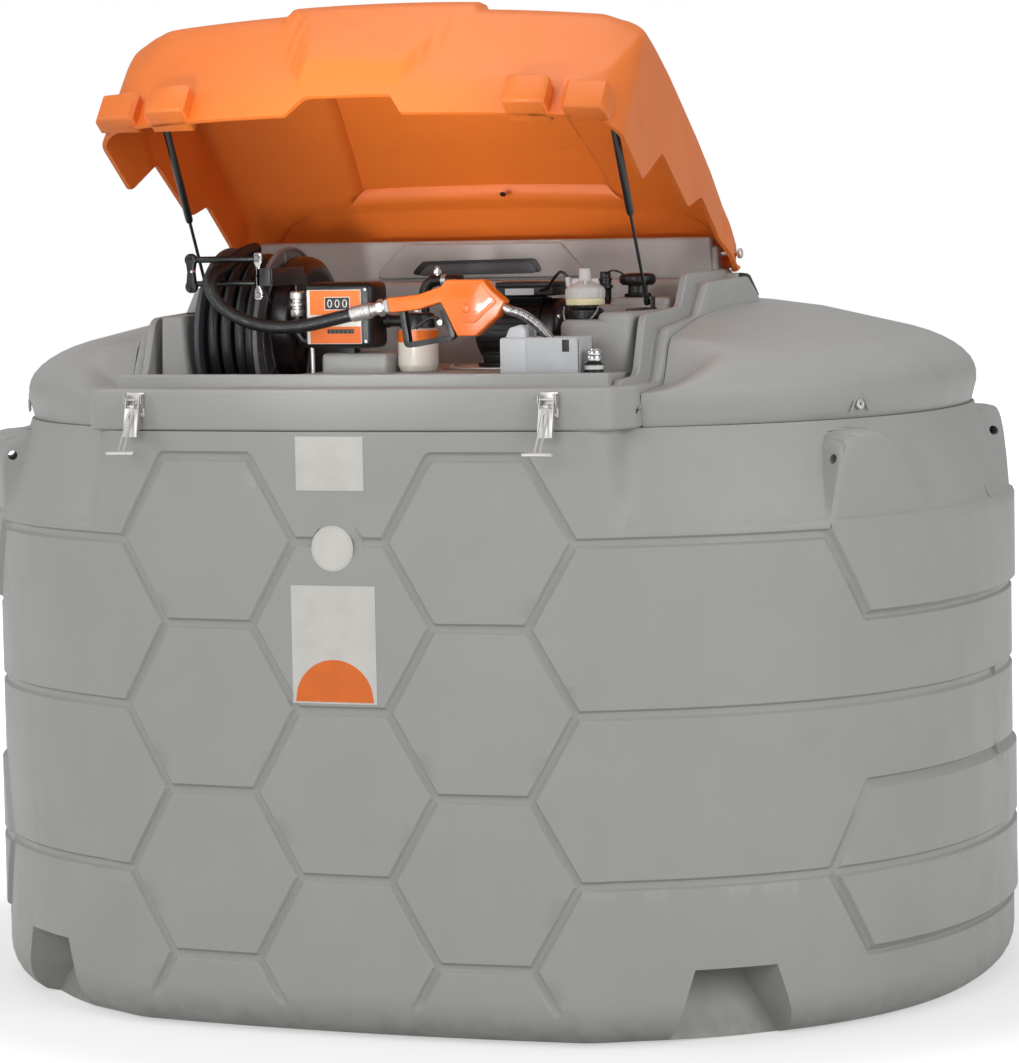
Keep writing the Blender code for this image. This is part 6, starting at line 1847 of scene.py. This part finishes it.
    def holder(self) -> None:
        """Make the holder: upright with the cradle, socket box and foot."""
        piece = Shaper("moulded_holder")
        cradle = filleted([(0.3292, 1.459), (0.33, 1.5205), (0.347, 1.56), (0.374, 1.568), (0.386, 1.556),
            (0.386, 1.459)], 0.008, 4, closed=True)
        piece.prism(cradle, -0.985, -0.962, PALE_ABS, Axis.Y, 0.004, 3)
        piece.prism(cradle, -0.938, -0.915, PALE_ABS, Axis.Y, 0.004, 3)
        piece.box((0.3292, -0.9998, 1.4584), (0.3948, -0.8952, 1.5395), PALE_ABS, 0.006, 4)
        piece.box((0.39, -0.9998, 1.4584), (0.5098, -0.986, 1.5395), PALE_ABS, 0.005, 4)
        piece.box((0.39, -0.909, 1.4584), (0.5098, -0.8952, 1.5395), PALE_ABS, 0.005, 4)
        piece.box((0.501, -0.9998, 1.4584), (0.5098, -0.8952, 1.5395), PALE_ABS, 0.004, 4)
        piece.box((0.33, -0.999, 1.4584), (0.509, -0.896, 1.478), PALE_ABS, 0.004, 3)
        piece.box((0.4745, -1.0001, 1.508), (0.4915, -0.998, 1.535), BLACK_NYLON, 0.001, 2)
        piece.finish(["nozzle_holder"], "pale_grey_plastic", 40)

    def build(self) -> None:
        """Make the whole nozzle and its holder."""
        self.body()
        self.guard()
        self.spout()
        self.holder()


@dataclass
class FlowMeter:
    """Mechanical flow meter: rounded black case, orange and white face, counter window and bright inlet."""

    right: float = -0.012

    def case(self) -> None:
        """Make the case with its lid ring, foot and screws."""
        piece = Shaper("meter_housing")
        piece.box((-0.177, -0.8995, 1.514), (self.right, -0.8, 1.662), BLACK_NYLON, 0.016, 5)
        piece.box((-0.1745, -0.9, 1.517), (-0.02, -0.87, 1.659), BLACK_NYLON, 0.01, 4)
        piece.box((-0.11, -0.862, 1.5), (-0.07, -0.828, 1.53), BLACK_NYLON, 0.004, 3)
        piece.tube([(-0.164, -0.885, 1.4584), (-0.164, -0.885, 1.52)], 0.0048, ZINC_PLATE, 16)
        piece.turned([(0, self.right - 0.004), (0.016, self.right - 0.004), (0.018, self.right - 0.001),
            (0, self.right - 0.0008)], (-0.85, 1.585), BLACK_NYLON, Axis.X, 32)
        for z in (1.53, 1.646):
            piece.turned([(0, -0.9018), (0.0032, -0.9016), (0.004, -0.8995), (0, -0.898)], (-0.027, z),
                ZINC_PLATE, Axis.Y, 16)
        piece.turned([(0, 1.587), (0.0145, 1.587), (0.016, 1.589), (0.016, 1.601), (0.0125, 1.603),
            (0.0125, 1.609), (0.0165, 1.611), (0.0165, 1.616), (0.0125, 1.618), (0.0125, 1.625),
            (0.017, 1.627), (0.017, 1.64), (0.014, 1.643), (0, 1.643)], (-0.2, -0.88), ZINC_PLATE, sides=32)
        piece.tube([(-0.2, -0.88, 1.59), (-0.199, -0.88, 1.55), (-0.19, -0.878, 1.533),
            (-0.17, -0.87, 1.528)], 0.0105, BLACK_NYLON, 20)
        piece.finish(["meter_case"], "black_plastic", 40)

    def face(self) -> None:
        """Make the face: a white plate with orange fields, the counter and the totaliser."""
        piece = Shaper("meter_dial_plate")
        x0, x1, z0, z1, y = -0.1675, -0.036, 1.5245, 1.646, -0.904
        piece.box((x0, y, z0), (x1, -0.9003, z1), WHITE_ABS, 0.0012, 2)

        def field(a: float, b: float, c: float, d: float, finish: Finish, proud: float = 0.0004) -> None:
            """Lay a thin printed or inset field on the plate."""
            piece.box((a, y - proud, c), (b, y + 0.0005, d), finish, 0.0002, 1)

        field(x0 + 0.0075, x1 - 0.0015, 1.59, z1 - 0.0015, ORANGE_PRINT)
        field(x0 + 0.0075, x1 - 0.0015, z0 + 0.0015, 1.5635, ORANGE_PRINT)
        field(-0.124, -0.062, 1.6005, 1.63, WHITE_ABS, 0.001)
        field(-0.1225, -0.0635, 1.602, 1.6285, BLACK_NYLON, 0.0014)
        for k in range(3):
            centre = -0.111 + k * 0.0182
            ring = []
            for i in range(24):
                angle = 2 * math.pi * i / 24
                ring.append((centre + 0.0046 * math.cos(angle), y - 0.0017,
                    1.6152 + 0.0082 * math.sin(angle)))
            ring.append(ring[0])
            piece.tube(ring + [ring[1]], 0.0012, WHITE_ABS, 6)
            field(centre + 0.0085, centre + 0.0092, 1.603, 1.6275, DARK_NYLON, 0.0016)
        field(-0.118, -0.054, 1.548, 1.5575, BLACK_NYLON, 0.001)
        for k in range(6):
            centre = -0.113 + k * 0.0104
            field(centre, centre + 0.005, 1.55, 1.5555, DARK_NYLON, 0.0014)
        piece.finish(["meter_face"], "white_plastic", 40)


@dataclass
class PumpSet:
    """Electric pump with its finned motor, terminal box, filter, elbow and cables."""

    motor: tuple[float, float] = (-0.6, 1.545)
    port_x: float = -0.0117

    def filter(self) -> None:
        """Make the filter can with its orange band, and its head."""
        can = Shaper("spin_on_filter")
        where = (0.058, -0.8)
        can.turned([(0, 1.5562), (0.036, 1.556), (0.04, 1.5545), (0.0445, 1.5515), (0.0458, 1.548),
            (0.0458, 1.529)], where, WHITE_ENAMEL, sides=64)
        can.turned([(0.0459, 1.552), (0.0461, 1.55), (0.0461, 1.526), (0.0459, 1.525)], where, ORANGE_PRINT,
            sides=64)
        can.turned([(0.0457, 1.53), (0.0457, 1.476), (0.0452, 1.472), (0.044, 1.47), (0.0425, 1.464),
            (0.0395, 1.459), (0, 1.4584)], where, WHITE_ENAMEL, sides=64)
        can.finish(["filter_can"], "white_plastic", 50)
        head = Shaper("cast_filter_head")
        head.turned([(0, 1.59), (0.033, 1.59), (0.037, 1.588), (0.0395, 1.584), (0.0395, 1.564),
            (0.04, 1.562), (0.04, 1.557), (0, 1.5564)], where, BLACK_NYLON, sides=48)
        head.turned([(0, self.port_x), (0.0155, self.port_x), (0.0155, self.port_x + 0.01),
            (0.013, self.port_x + 0.012), (0.013, 0.058), (0, 0.058)], (-0.82, 1.573), BLACK_NYLON, Axis.X,
            32)
        head.bolt((0.058, -0.8, 1.5895), (0, 0, 1), 0.017, ZINC_PLATE)
        head.finish(["filter_head"], "black_plastic", 40)

    def pump(self) -> None:
        """Make the motor with cooling fins, its feet, the terminal box and the head with its round cover."""
        y, z = self.motor
        ground = 1.4583
        plate = Shaper("pressed_base")
        plate.box((0.085, -0.72, ground), (0.33, -0.48, ground + 0.004), ZINC_PLATE, 0.001, 2)
        for x in (0.1, 0.316):
            for by in (-0.706, -0.494):
                plate.bolt((x, by, ground + 0.0039), (0, 0, 1), 0.013, ZINC_PLATE)
        plate.finish(["pump_base_plate"], "zinc_plated_steel")
        motor = Shaper("finned_motor")
        motor.turned([(0, 0.14), (0.05, 0.1402), (0.062, 0.143), (0.07, 0.15), (0.0705, 0.296),
            (0.074, 0.297), (0.074, 0.3), (0, 0.3)], (y, z), BLACK_ENAMEL, Axis.X, 72)
        for k in range(30):
            turn = spun((0, y, z), 12 * k + 6, Axis.X)
            motor.box((0.156, -0.0011, 0.066), (0.294, 0.0011, 0.0758), BLACK_ENAMEL, 0.0006, 2, turn=turn)
        motor.box((0.15, -0.665, ground + 0.0045), (0.29, -0.535, ground + 0.0125), BLACK_ENAMEL, 0.002, 2)
        for by in (-0.65, -0.56):
            motor.box((0.156, by, ground + 0.008), (0.284, by + 0.012, z - 0.045), BLACK_ENAMEL, 0.002, 2)
        motor.finish(["pump_motor"], "black_plastic", 40)
        box = Shaper("terminal_housing")
        box.box((0.19, -0.65, z + 0.0763), (0.327, -0.55, 1.644), BLACK_NYLON, 0.005, 4)
        box.box((0.1885, -0.6515, 1.64), (0.3285, -0.5485, 1.653), BLACK_NYLON, 0.004, 4)
        for x in (0.199, 0.318):
            box.turned([(0, 1.6545), (0.003, 1.6542), (0.0038, 1.6528), (0, 1.652)], (x, -0.641), ZINC_PLATE,
                sides=16)
        box.box((0.213, -0.6506, 1.6235), (0.283, -0.649, 1.6385), PLATE_GREY, 0.0004, 1)
        cable = smooth_route([(0.3, -0.652, 1.634), (0.322, -0.668, 1.641), (0.352, -0.69, 1.668),
            (0.368, -0.7, 1.676), (0.381, -0.7, 1.664), (0.384, -0.7, 1.63), (0.384, -0.7, 1.592)], 40)
        box.tube(cable, 0.0036, BLACK_NYLON, 12)
        box.turned([(0, 1.664), (0.006, 1.663), (0.006, 1.644), (0, 1.643)], (0.384, -0.7), PALE_ABS,
            sides=16)
        box.finish(["motor_terminal_box"], "black_plastic", 40)
        head = Shaper("cast_pump_head")
        head.turned([(0, 0.3003), (0.066, 0.3003), (0.0695, 0.302), (0.07, 0.306), (0.07, 0.33),
            (0.067, 0.338), (0.06, 0.344), (0.046, 0.3475), (0.045, 0.356), (0.042, 0.362), (0.036, 0.3655),
            (0.02, 0.3658), (0.018, 0.363), (0, 0.3628)], (y, z), BLACK_ENAMEL, Axis.X, 64)
        for k in range(6):
            angle = math.radians(60 * k + 30)
            head.bolt((0.34, y + 0.0585 * math.cos(angle), z + 0.0585 * math.sin(angle)), (1, 0, 0), 0.01,
                ZINC_PLATE, 0.005)
        head.finish(["pump_head"], "black_plastic", 40)

    def elbow(self) -> None:
        """Make the suction elbow with its clamp rings and the bright bleed plug."""
        piece = Shaper("suction_bend")
        route = smooth_route([(0.01, -0.64, 1.4584), (0.01, -0.64, 1.54), (0.01, -0.64, 1.595),
            (0.0105, -0.64, 1.622), (0.02, -0.64, 1.648), (0.042, -0.64, 1.6585), (0.07, -0.64, 1.659),
            (0.105, -0.64, 1.658)], 60)
        piece.tube(route, 0.0128, BLACK_NYLON, 28)
        for x in (0.034, 0.062, 0.088):
            piece.turned([(0.01, x - 0.006), (0.0142, x - 0.0055), (0.0145, x + 0.0055), (0.01, x + 0.006)],
                (-0.64, 1.658), BLACK_NYLON if x != 0.062 else ZINC_PLATE, Axis.X, 32)
        piece.finish(["suction_elbow"], "black_plastic", 40)
        plug = Shaper("bleed_plug")
        plug.turned([(0, 1.6716), (0.0062, 1.6716), (0.0062, 1.6745), (0, 1.6745)], (0.045, -0.64),
            ZINC_PLATE, sides=24)
        plug.turned([(0, 1.674), (0.0096, 1.6742), (0.01, 1.6755), (0.01, 1.6815), (0.0092, 1.683),
            (0, 1.683)], (0.045, -0.64), ZINC_PLATE, sides=6)
        plug.turned([(0, 1.6825), (0.007, 1.6825), (0.007, 1.685), (0.0052, 1.686), (0.006, 1.6885),
            (0.0048, 1.6912), (0, 1.6918)], (0.045, -0.64), ZINC_PLATE, sides=24)
        plug.finish(["elbow_plug"], "zinc_plated_steel", 30)

    def build(self) -> None:
        """Make the pump set."""
        self.filter()
        self.pump()
        self.elbow()


@dataclass
class TankFittings:
    """Filler with a translucent cap and chain, level gauge, manhole cap and the capped valve."""

    filler: tuple[float, float] = (0.446, -0.762)

    def filler_parts(self) -> None:
        """Make the collar with its lugs, the chain and the ribbed cap."""
        collar = Shaper("filler_neck")
        collar.turned([(0, 1.5725), (0.038, 1.5725), (0.04, 1.574), (0.04, 1.579), (0.0385, 1.5805),
            (0.0385, 1.585), (0.04, 1.5865), (0.04, 1.5915), (0.038, 1.5932), (0.031, 1.598), (0.03, 1.603),
            (0, 1.603)], self.filler, BLACK_NYLON, sides=64)
        for k in range(10):
            turn = spun((*self.filler, 0), 36 * k + 5, Axis.Z)
            collar.box((0.037, -0.003, 1.5745), (0.0405, 0.003, 1.5915), BLACK_NYLON, 0.001, 2, turn=turn)
        loop = smooth_route([(0.406, -0.79, 1.599), (0.408, -0.801, 1.583), (0.418, -0.811, 1.564),
            (0.433, -0.816, 1.552), (0.45, -0.815, 1.556), (0.469, -0.809, 1.569), (0.482, -0.797, 1.586),
            (0.485, -0.786, 1.599)], 34)
        for k, (a, b) in enumerate(zip(loop, loop[1:])):
            spot, along = (a + b) / 2, (b - a).normalized()
            turn = aimed(spot, along) @ Matrix.Rotation(math.pi / 2 * (k % 2), 4, "Z")
            link = []
            for i in range(13):
                angle = 2 * math.pi * i / 12
                link.append((0.0017 * math.cos(angle), 0, 0.0034 * math.sin(angle)))
            collar.tube(link, 0.0006, ZINC_PLATE, 6, turn=turn)
        collar.finish(["filler_collar"], "black_plastic", 40)
        cap = Shaper("filler_lid")
        cap.turned([(0, 1.6034), (0.042, 1.6034), (0.0432, 1.605), (0.0432, 1.616), (0.042, 1.617),
            (0.042, 1.618), (0, 1.618)], self.filler, CREAM_NYLON, sides=64)
        cap.turned([(0, 1.6175), (0.042, 1.6176), (0.0436, 1.619), (0.0436, 1.638), (0.042, 1.641),
            (0.038, 1.645), (0.024, 1.652), (0.015, 1.6555), (0.0138, 1.66), (0.0134, 1.68), (0.0115, 1.6838),
            (0, 1.684)], self.filler, MILKY_PLASTIC, sides=64)
        for k in range(22):
            turn = Matrix.Translation((*self.filler, 0)) @ Matrix.Rotation(2 * math.pi * k / 22, 4, "Z")
            cap.box((0.0405, -0.0022, 1.6195), (0.0445, 0.0022, 1.6375), MILKY_PLASTIC, 0.001, 2, turn=turn)
        for k in range(2):
            turn = spun((*self.filler, 0), 20 + 90 * k, Axis.Z)
            cap.box((-0.03, -0.003, 1.644), (0.03, 0.003, 1.662), MILKY_PLASTIC, 0.0025, 3, turn=turn)
        cap.finish(["filler_cap"], "white_plastic", 40)

    def caps(self) -> None:
        """Make the level gauge, the manhole cap and the valve."""
        gauge = Shaper("level_gauge_body")
        profile = [(0, 1.5984), (0.015, 1.5984), (0.015, 1.604), (0.013, 1.606), (0.013, 1.63),
            (0.0145, 1.633), (0.017, 1.6345), (0.017, 1.6405), (0.013, 1.642), (0.013, 1.65), (0.015, 1.651),
            (0.015, 1.656), (0.0125, 1.658), (0.0125, 1.667), (0.0105, 1.6715), (0, 1.672)]
        gauge.turned(profile, (0.399, -0.49), BLACK_ENAMEL, sides=32)
        wire = smooth_route([(0.404, -0.499, 1.665), (0.42, -0.505, 1.674), (0.44, -0.5, 1.669),
            (0.452, -0.492, 1.656), (0.458, -0.488, 1.648)], 24)
        gauge.tube(wire, 0.0022, BLACK_NYLON, 10)
        gauge.finish(["level_gauge"], "black_plastic", 40)
        cap = Shaper("manhole_lid")
        cap.turned([(0, 1.6124), (0.03, 1.6124), (0.031, 1.614), (0.031, 1.62), (0.023, 1.622),
            (0.022, 1.6385), (0.036, 1.64), (0.0405, 1.645), (0.041, 1.65), (0.041, 1.659), (0.0385, 1.6635),
            (0.034, 1.6655), (0.02, 1.6672), (0, 1.6678)], (0.47, -0.47), BLACK_ENAMEL, sides=64)
        for k in range(16):
            turn = spun((0.47, -0.47, 0), 22.5 * k, Axis.Z)
            cap.box((0.039, -0.003, 1.6455), (0.0418, 0.003, 1.66), BLACK_ENAMEL, 0.001, 2, turn=turn)
        cap.finish(["manhole_cap"], "black_plastic", 40)
        valve = Shaper("capped_valve")
        where = (0.537, -0.97)
        valve.turned([(0, 1.4584), (0.021, 1.4584), (0.021, 1.4692)], where, BLACK_NYLON, sides=48)
        valve.turned([(0.021, 1.469), (0.0206, 1.4693), (0.0206, 1.478), (0.021, 1.4783)], where, WHITE_ABS,
            sides=48)
        valve.turned([(0.021, 1.478), (0.021, 1.4805), (0.016, 1.4835), (0.0145, 1.4855), (0.0145, 1.487),
            (0, 1.487)], where, BLACK_NYLON, sides=48)
        valve.turned([(0, 1.4865), (0.017, 1.4865), (0.018, 1.488), (0.018, 1.498), (0.0172, 1.499),
            (0.018, 1.5), (0.018, 1.5085), (0.0165, 1.5105), (0.015, 1.511), (0.015, 1.5135), (0.0135, 1.514),
            (0, 1.514)], where, CHROME, sides=48)
        valve.finish(["valve_fitting"], "zinc_plated_steel", 40)

    def build(self) -> None:
        """Make every fitting."""
        self.filler_parts()
        self.caps()


@dataclass
class FrontPlates:
    """Plain plates on the front: a white one, a round one and a tall one with an orange half disc."""

    def sheet(self, piece: Shaper, left: float, right: float, span: Callable[[float], tuple[float, float]],
            finish: Finish, proud: float) -> None:
        """Lay a thin sheet on the curved front.

        Args:
            piece: Piece that takes it.
            left: Its lowest x.
            right: Its highest x.
            span: Gives its lower and upper height at an x.
            finish: Finish of its faces.
            proud: How far it stands out.
        """
        steps = 40
        rows = []
        for k in range(steps + 1):
            x = left + (right - left) * k / steps
            low, high = span(x)
            y = PLAN.face_y(x)
            rows.append([(x, y - 0.0002, low), (x, y - proud, low), (x, y - proud, high),
                (x, y - 0.0002, high)])
        piece.rings(rows, finish)

    def build(self) -> None:
        """Make the three plates."""
        piece = Shaper("front_plates")

        def round_sheet(x: float, z: float, radius: float, finish: Finish, proud: float,
                half: bool = False) -> None:
            """Lay a disc, or its upper half."""
            def span(at: float) -> tuple[float, float]:
                """Give the disc's heights at x."""
                rise = math.sqrt(max(radius * radius - (at - x) ** 2, 1e-9))
                return (z, z + rise) if half else (z - rise, z + rise)
            self.sheet(piece, x - radius, x + radius, span, finish, proud)

        self.sheet(piece, -0.0965, 0.064, lambda x: (1.2135, 1.332), WHITE_FILM, 0.0007)
        round_sheet(-0.013, 1.087, 0.05, WHITE_FILM, 0.0007)
        round_sheet(-0.013, 1.087, 0.044, WHITE_ABS, 0.0011)
        self.sheet(piece, -0.115, 0.085, lambda x: (0.745, 1.005), WHITE_FILM, 0.0007)
        round_sheet(-0.015, 0.749, 0.093, ORANGE_PRINT, 0.0011, half=True)
        piece.finish((), "white_plastic", 50)


def dress_nodes(nodes: dict[str, bpy.types.Object]) -> None:
    """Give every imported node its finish.

    Args:
        nodes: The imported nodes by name.
    """
    finishes = {name.replace("*", side): finish for finish, names in FINISHED_NODES.items()
        for name in names.split() for side in ("left", "right")}
    for name, node in nodes.items():
        for slot in node.material_slots:
            slot.link = "OBJECT"
            slot.material = finishes[name].material()


def main() -> None:
    logging.basicConfig(level=logging.INFO)
    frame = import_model()
    Studio().build()
    DeliveryHose().build()
    dress_nodes(frame["nodes"])
    OuterTank().build()
    TopCover().build()
    DeckRelief().build()
    Lid().build()
    for side in (-1, 1):
        GasStrut(side).build()
        ToggleLatch(side).build()
    HoseReel().build()
    HoseGuide().build()
    FillingNozzle().build()
    meter = FlowMeter()
    meter.case()
    meter.face()
    PumpSet().build()
    TankFittings().build()
    FrontPlates().build()


if __name__ == "__main__":
    main()
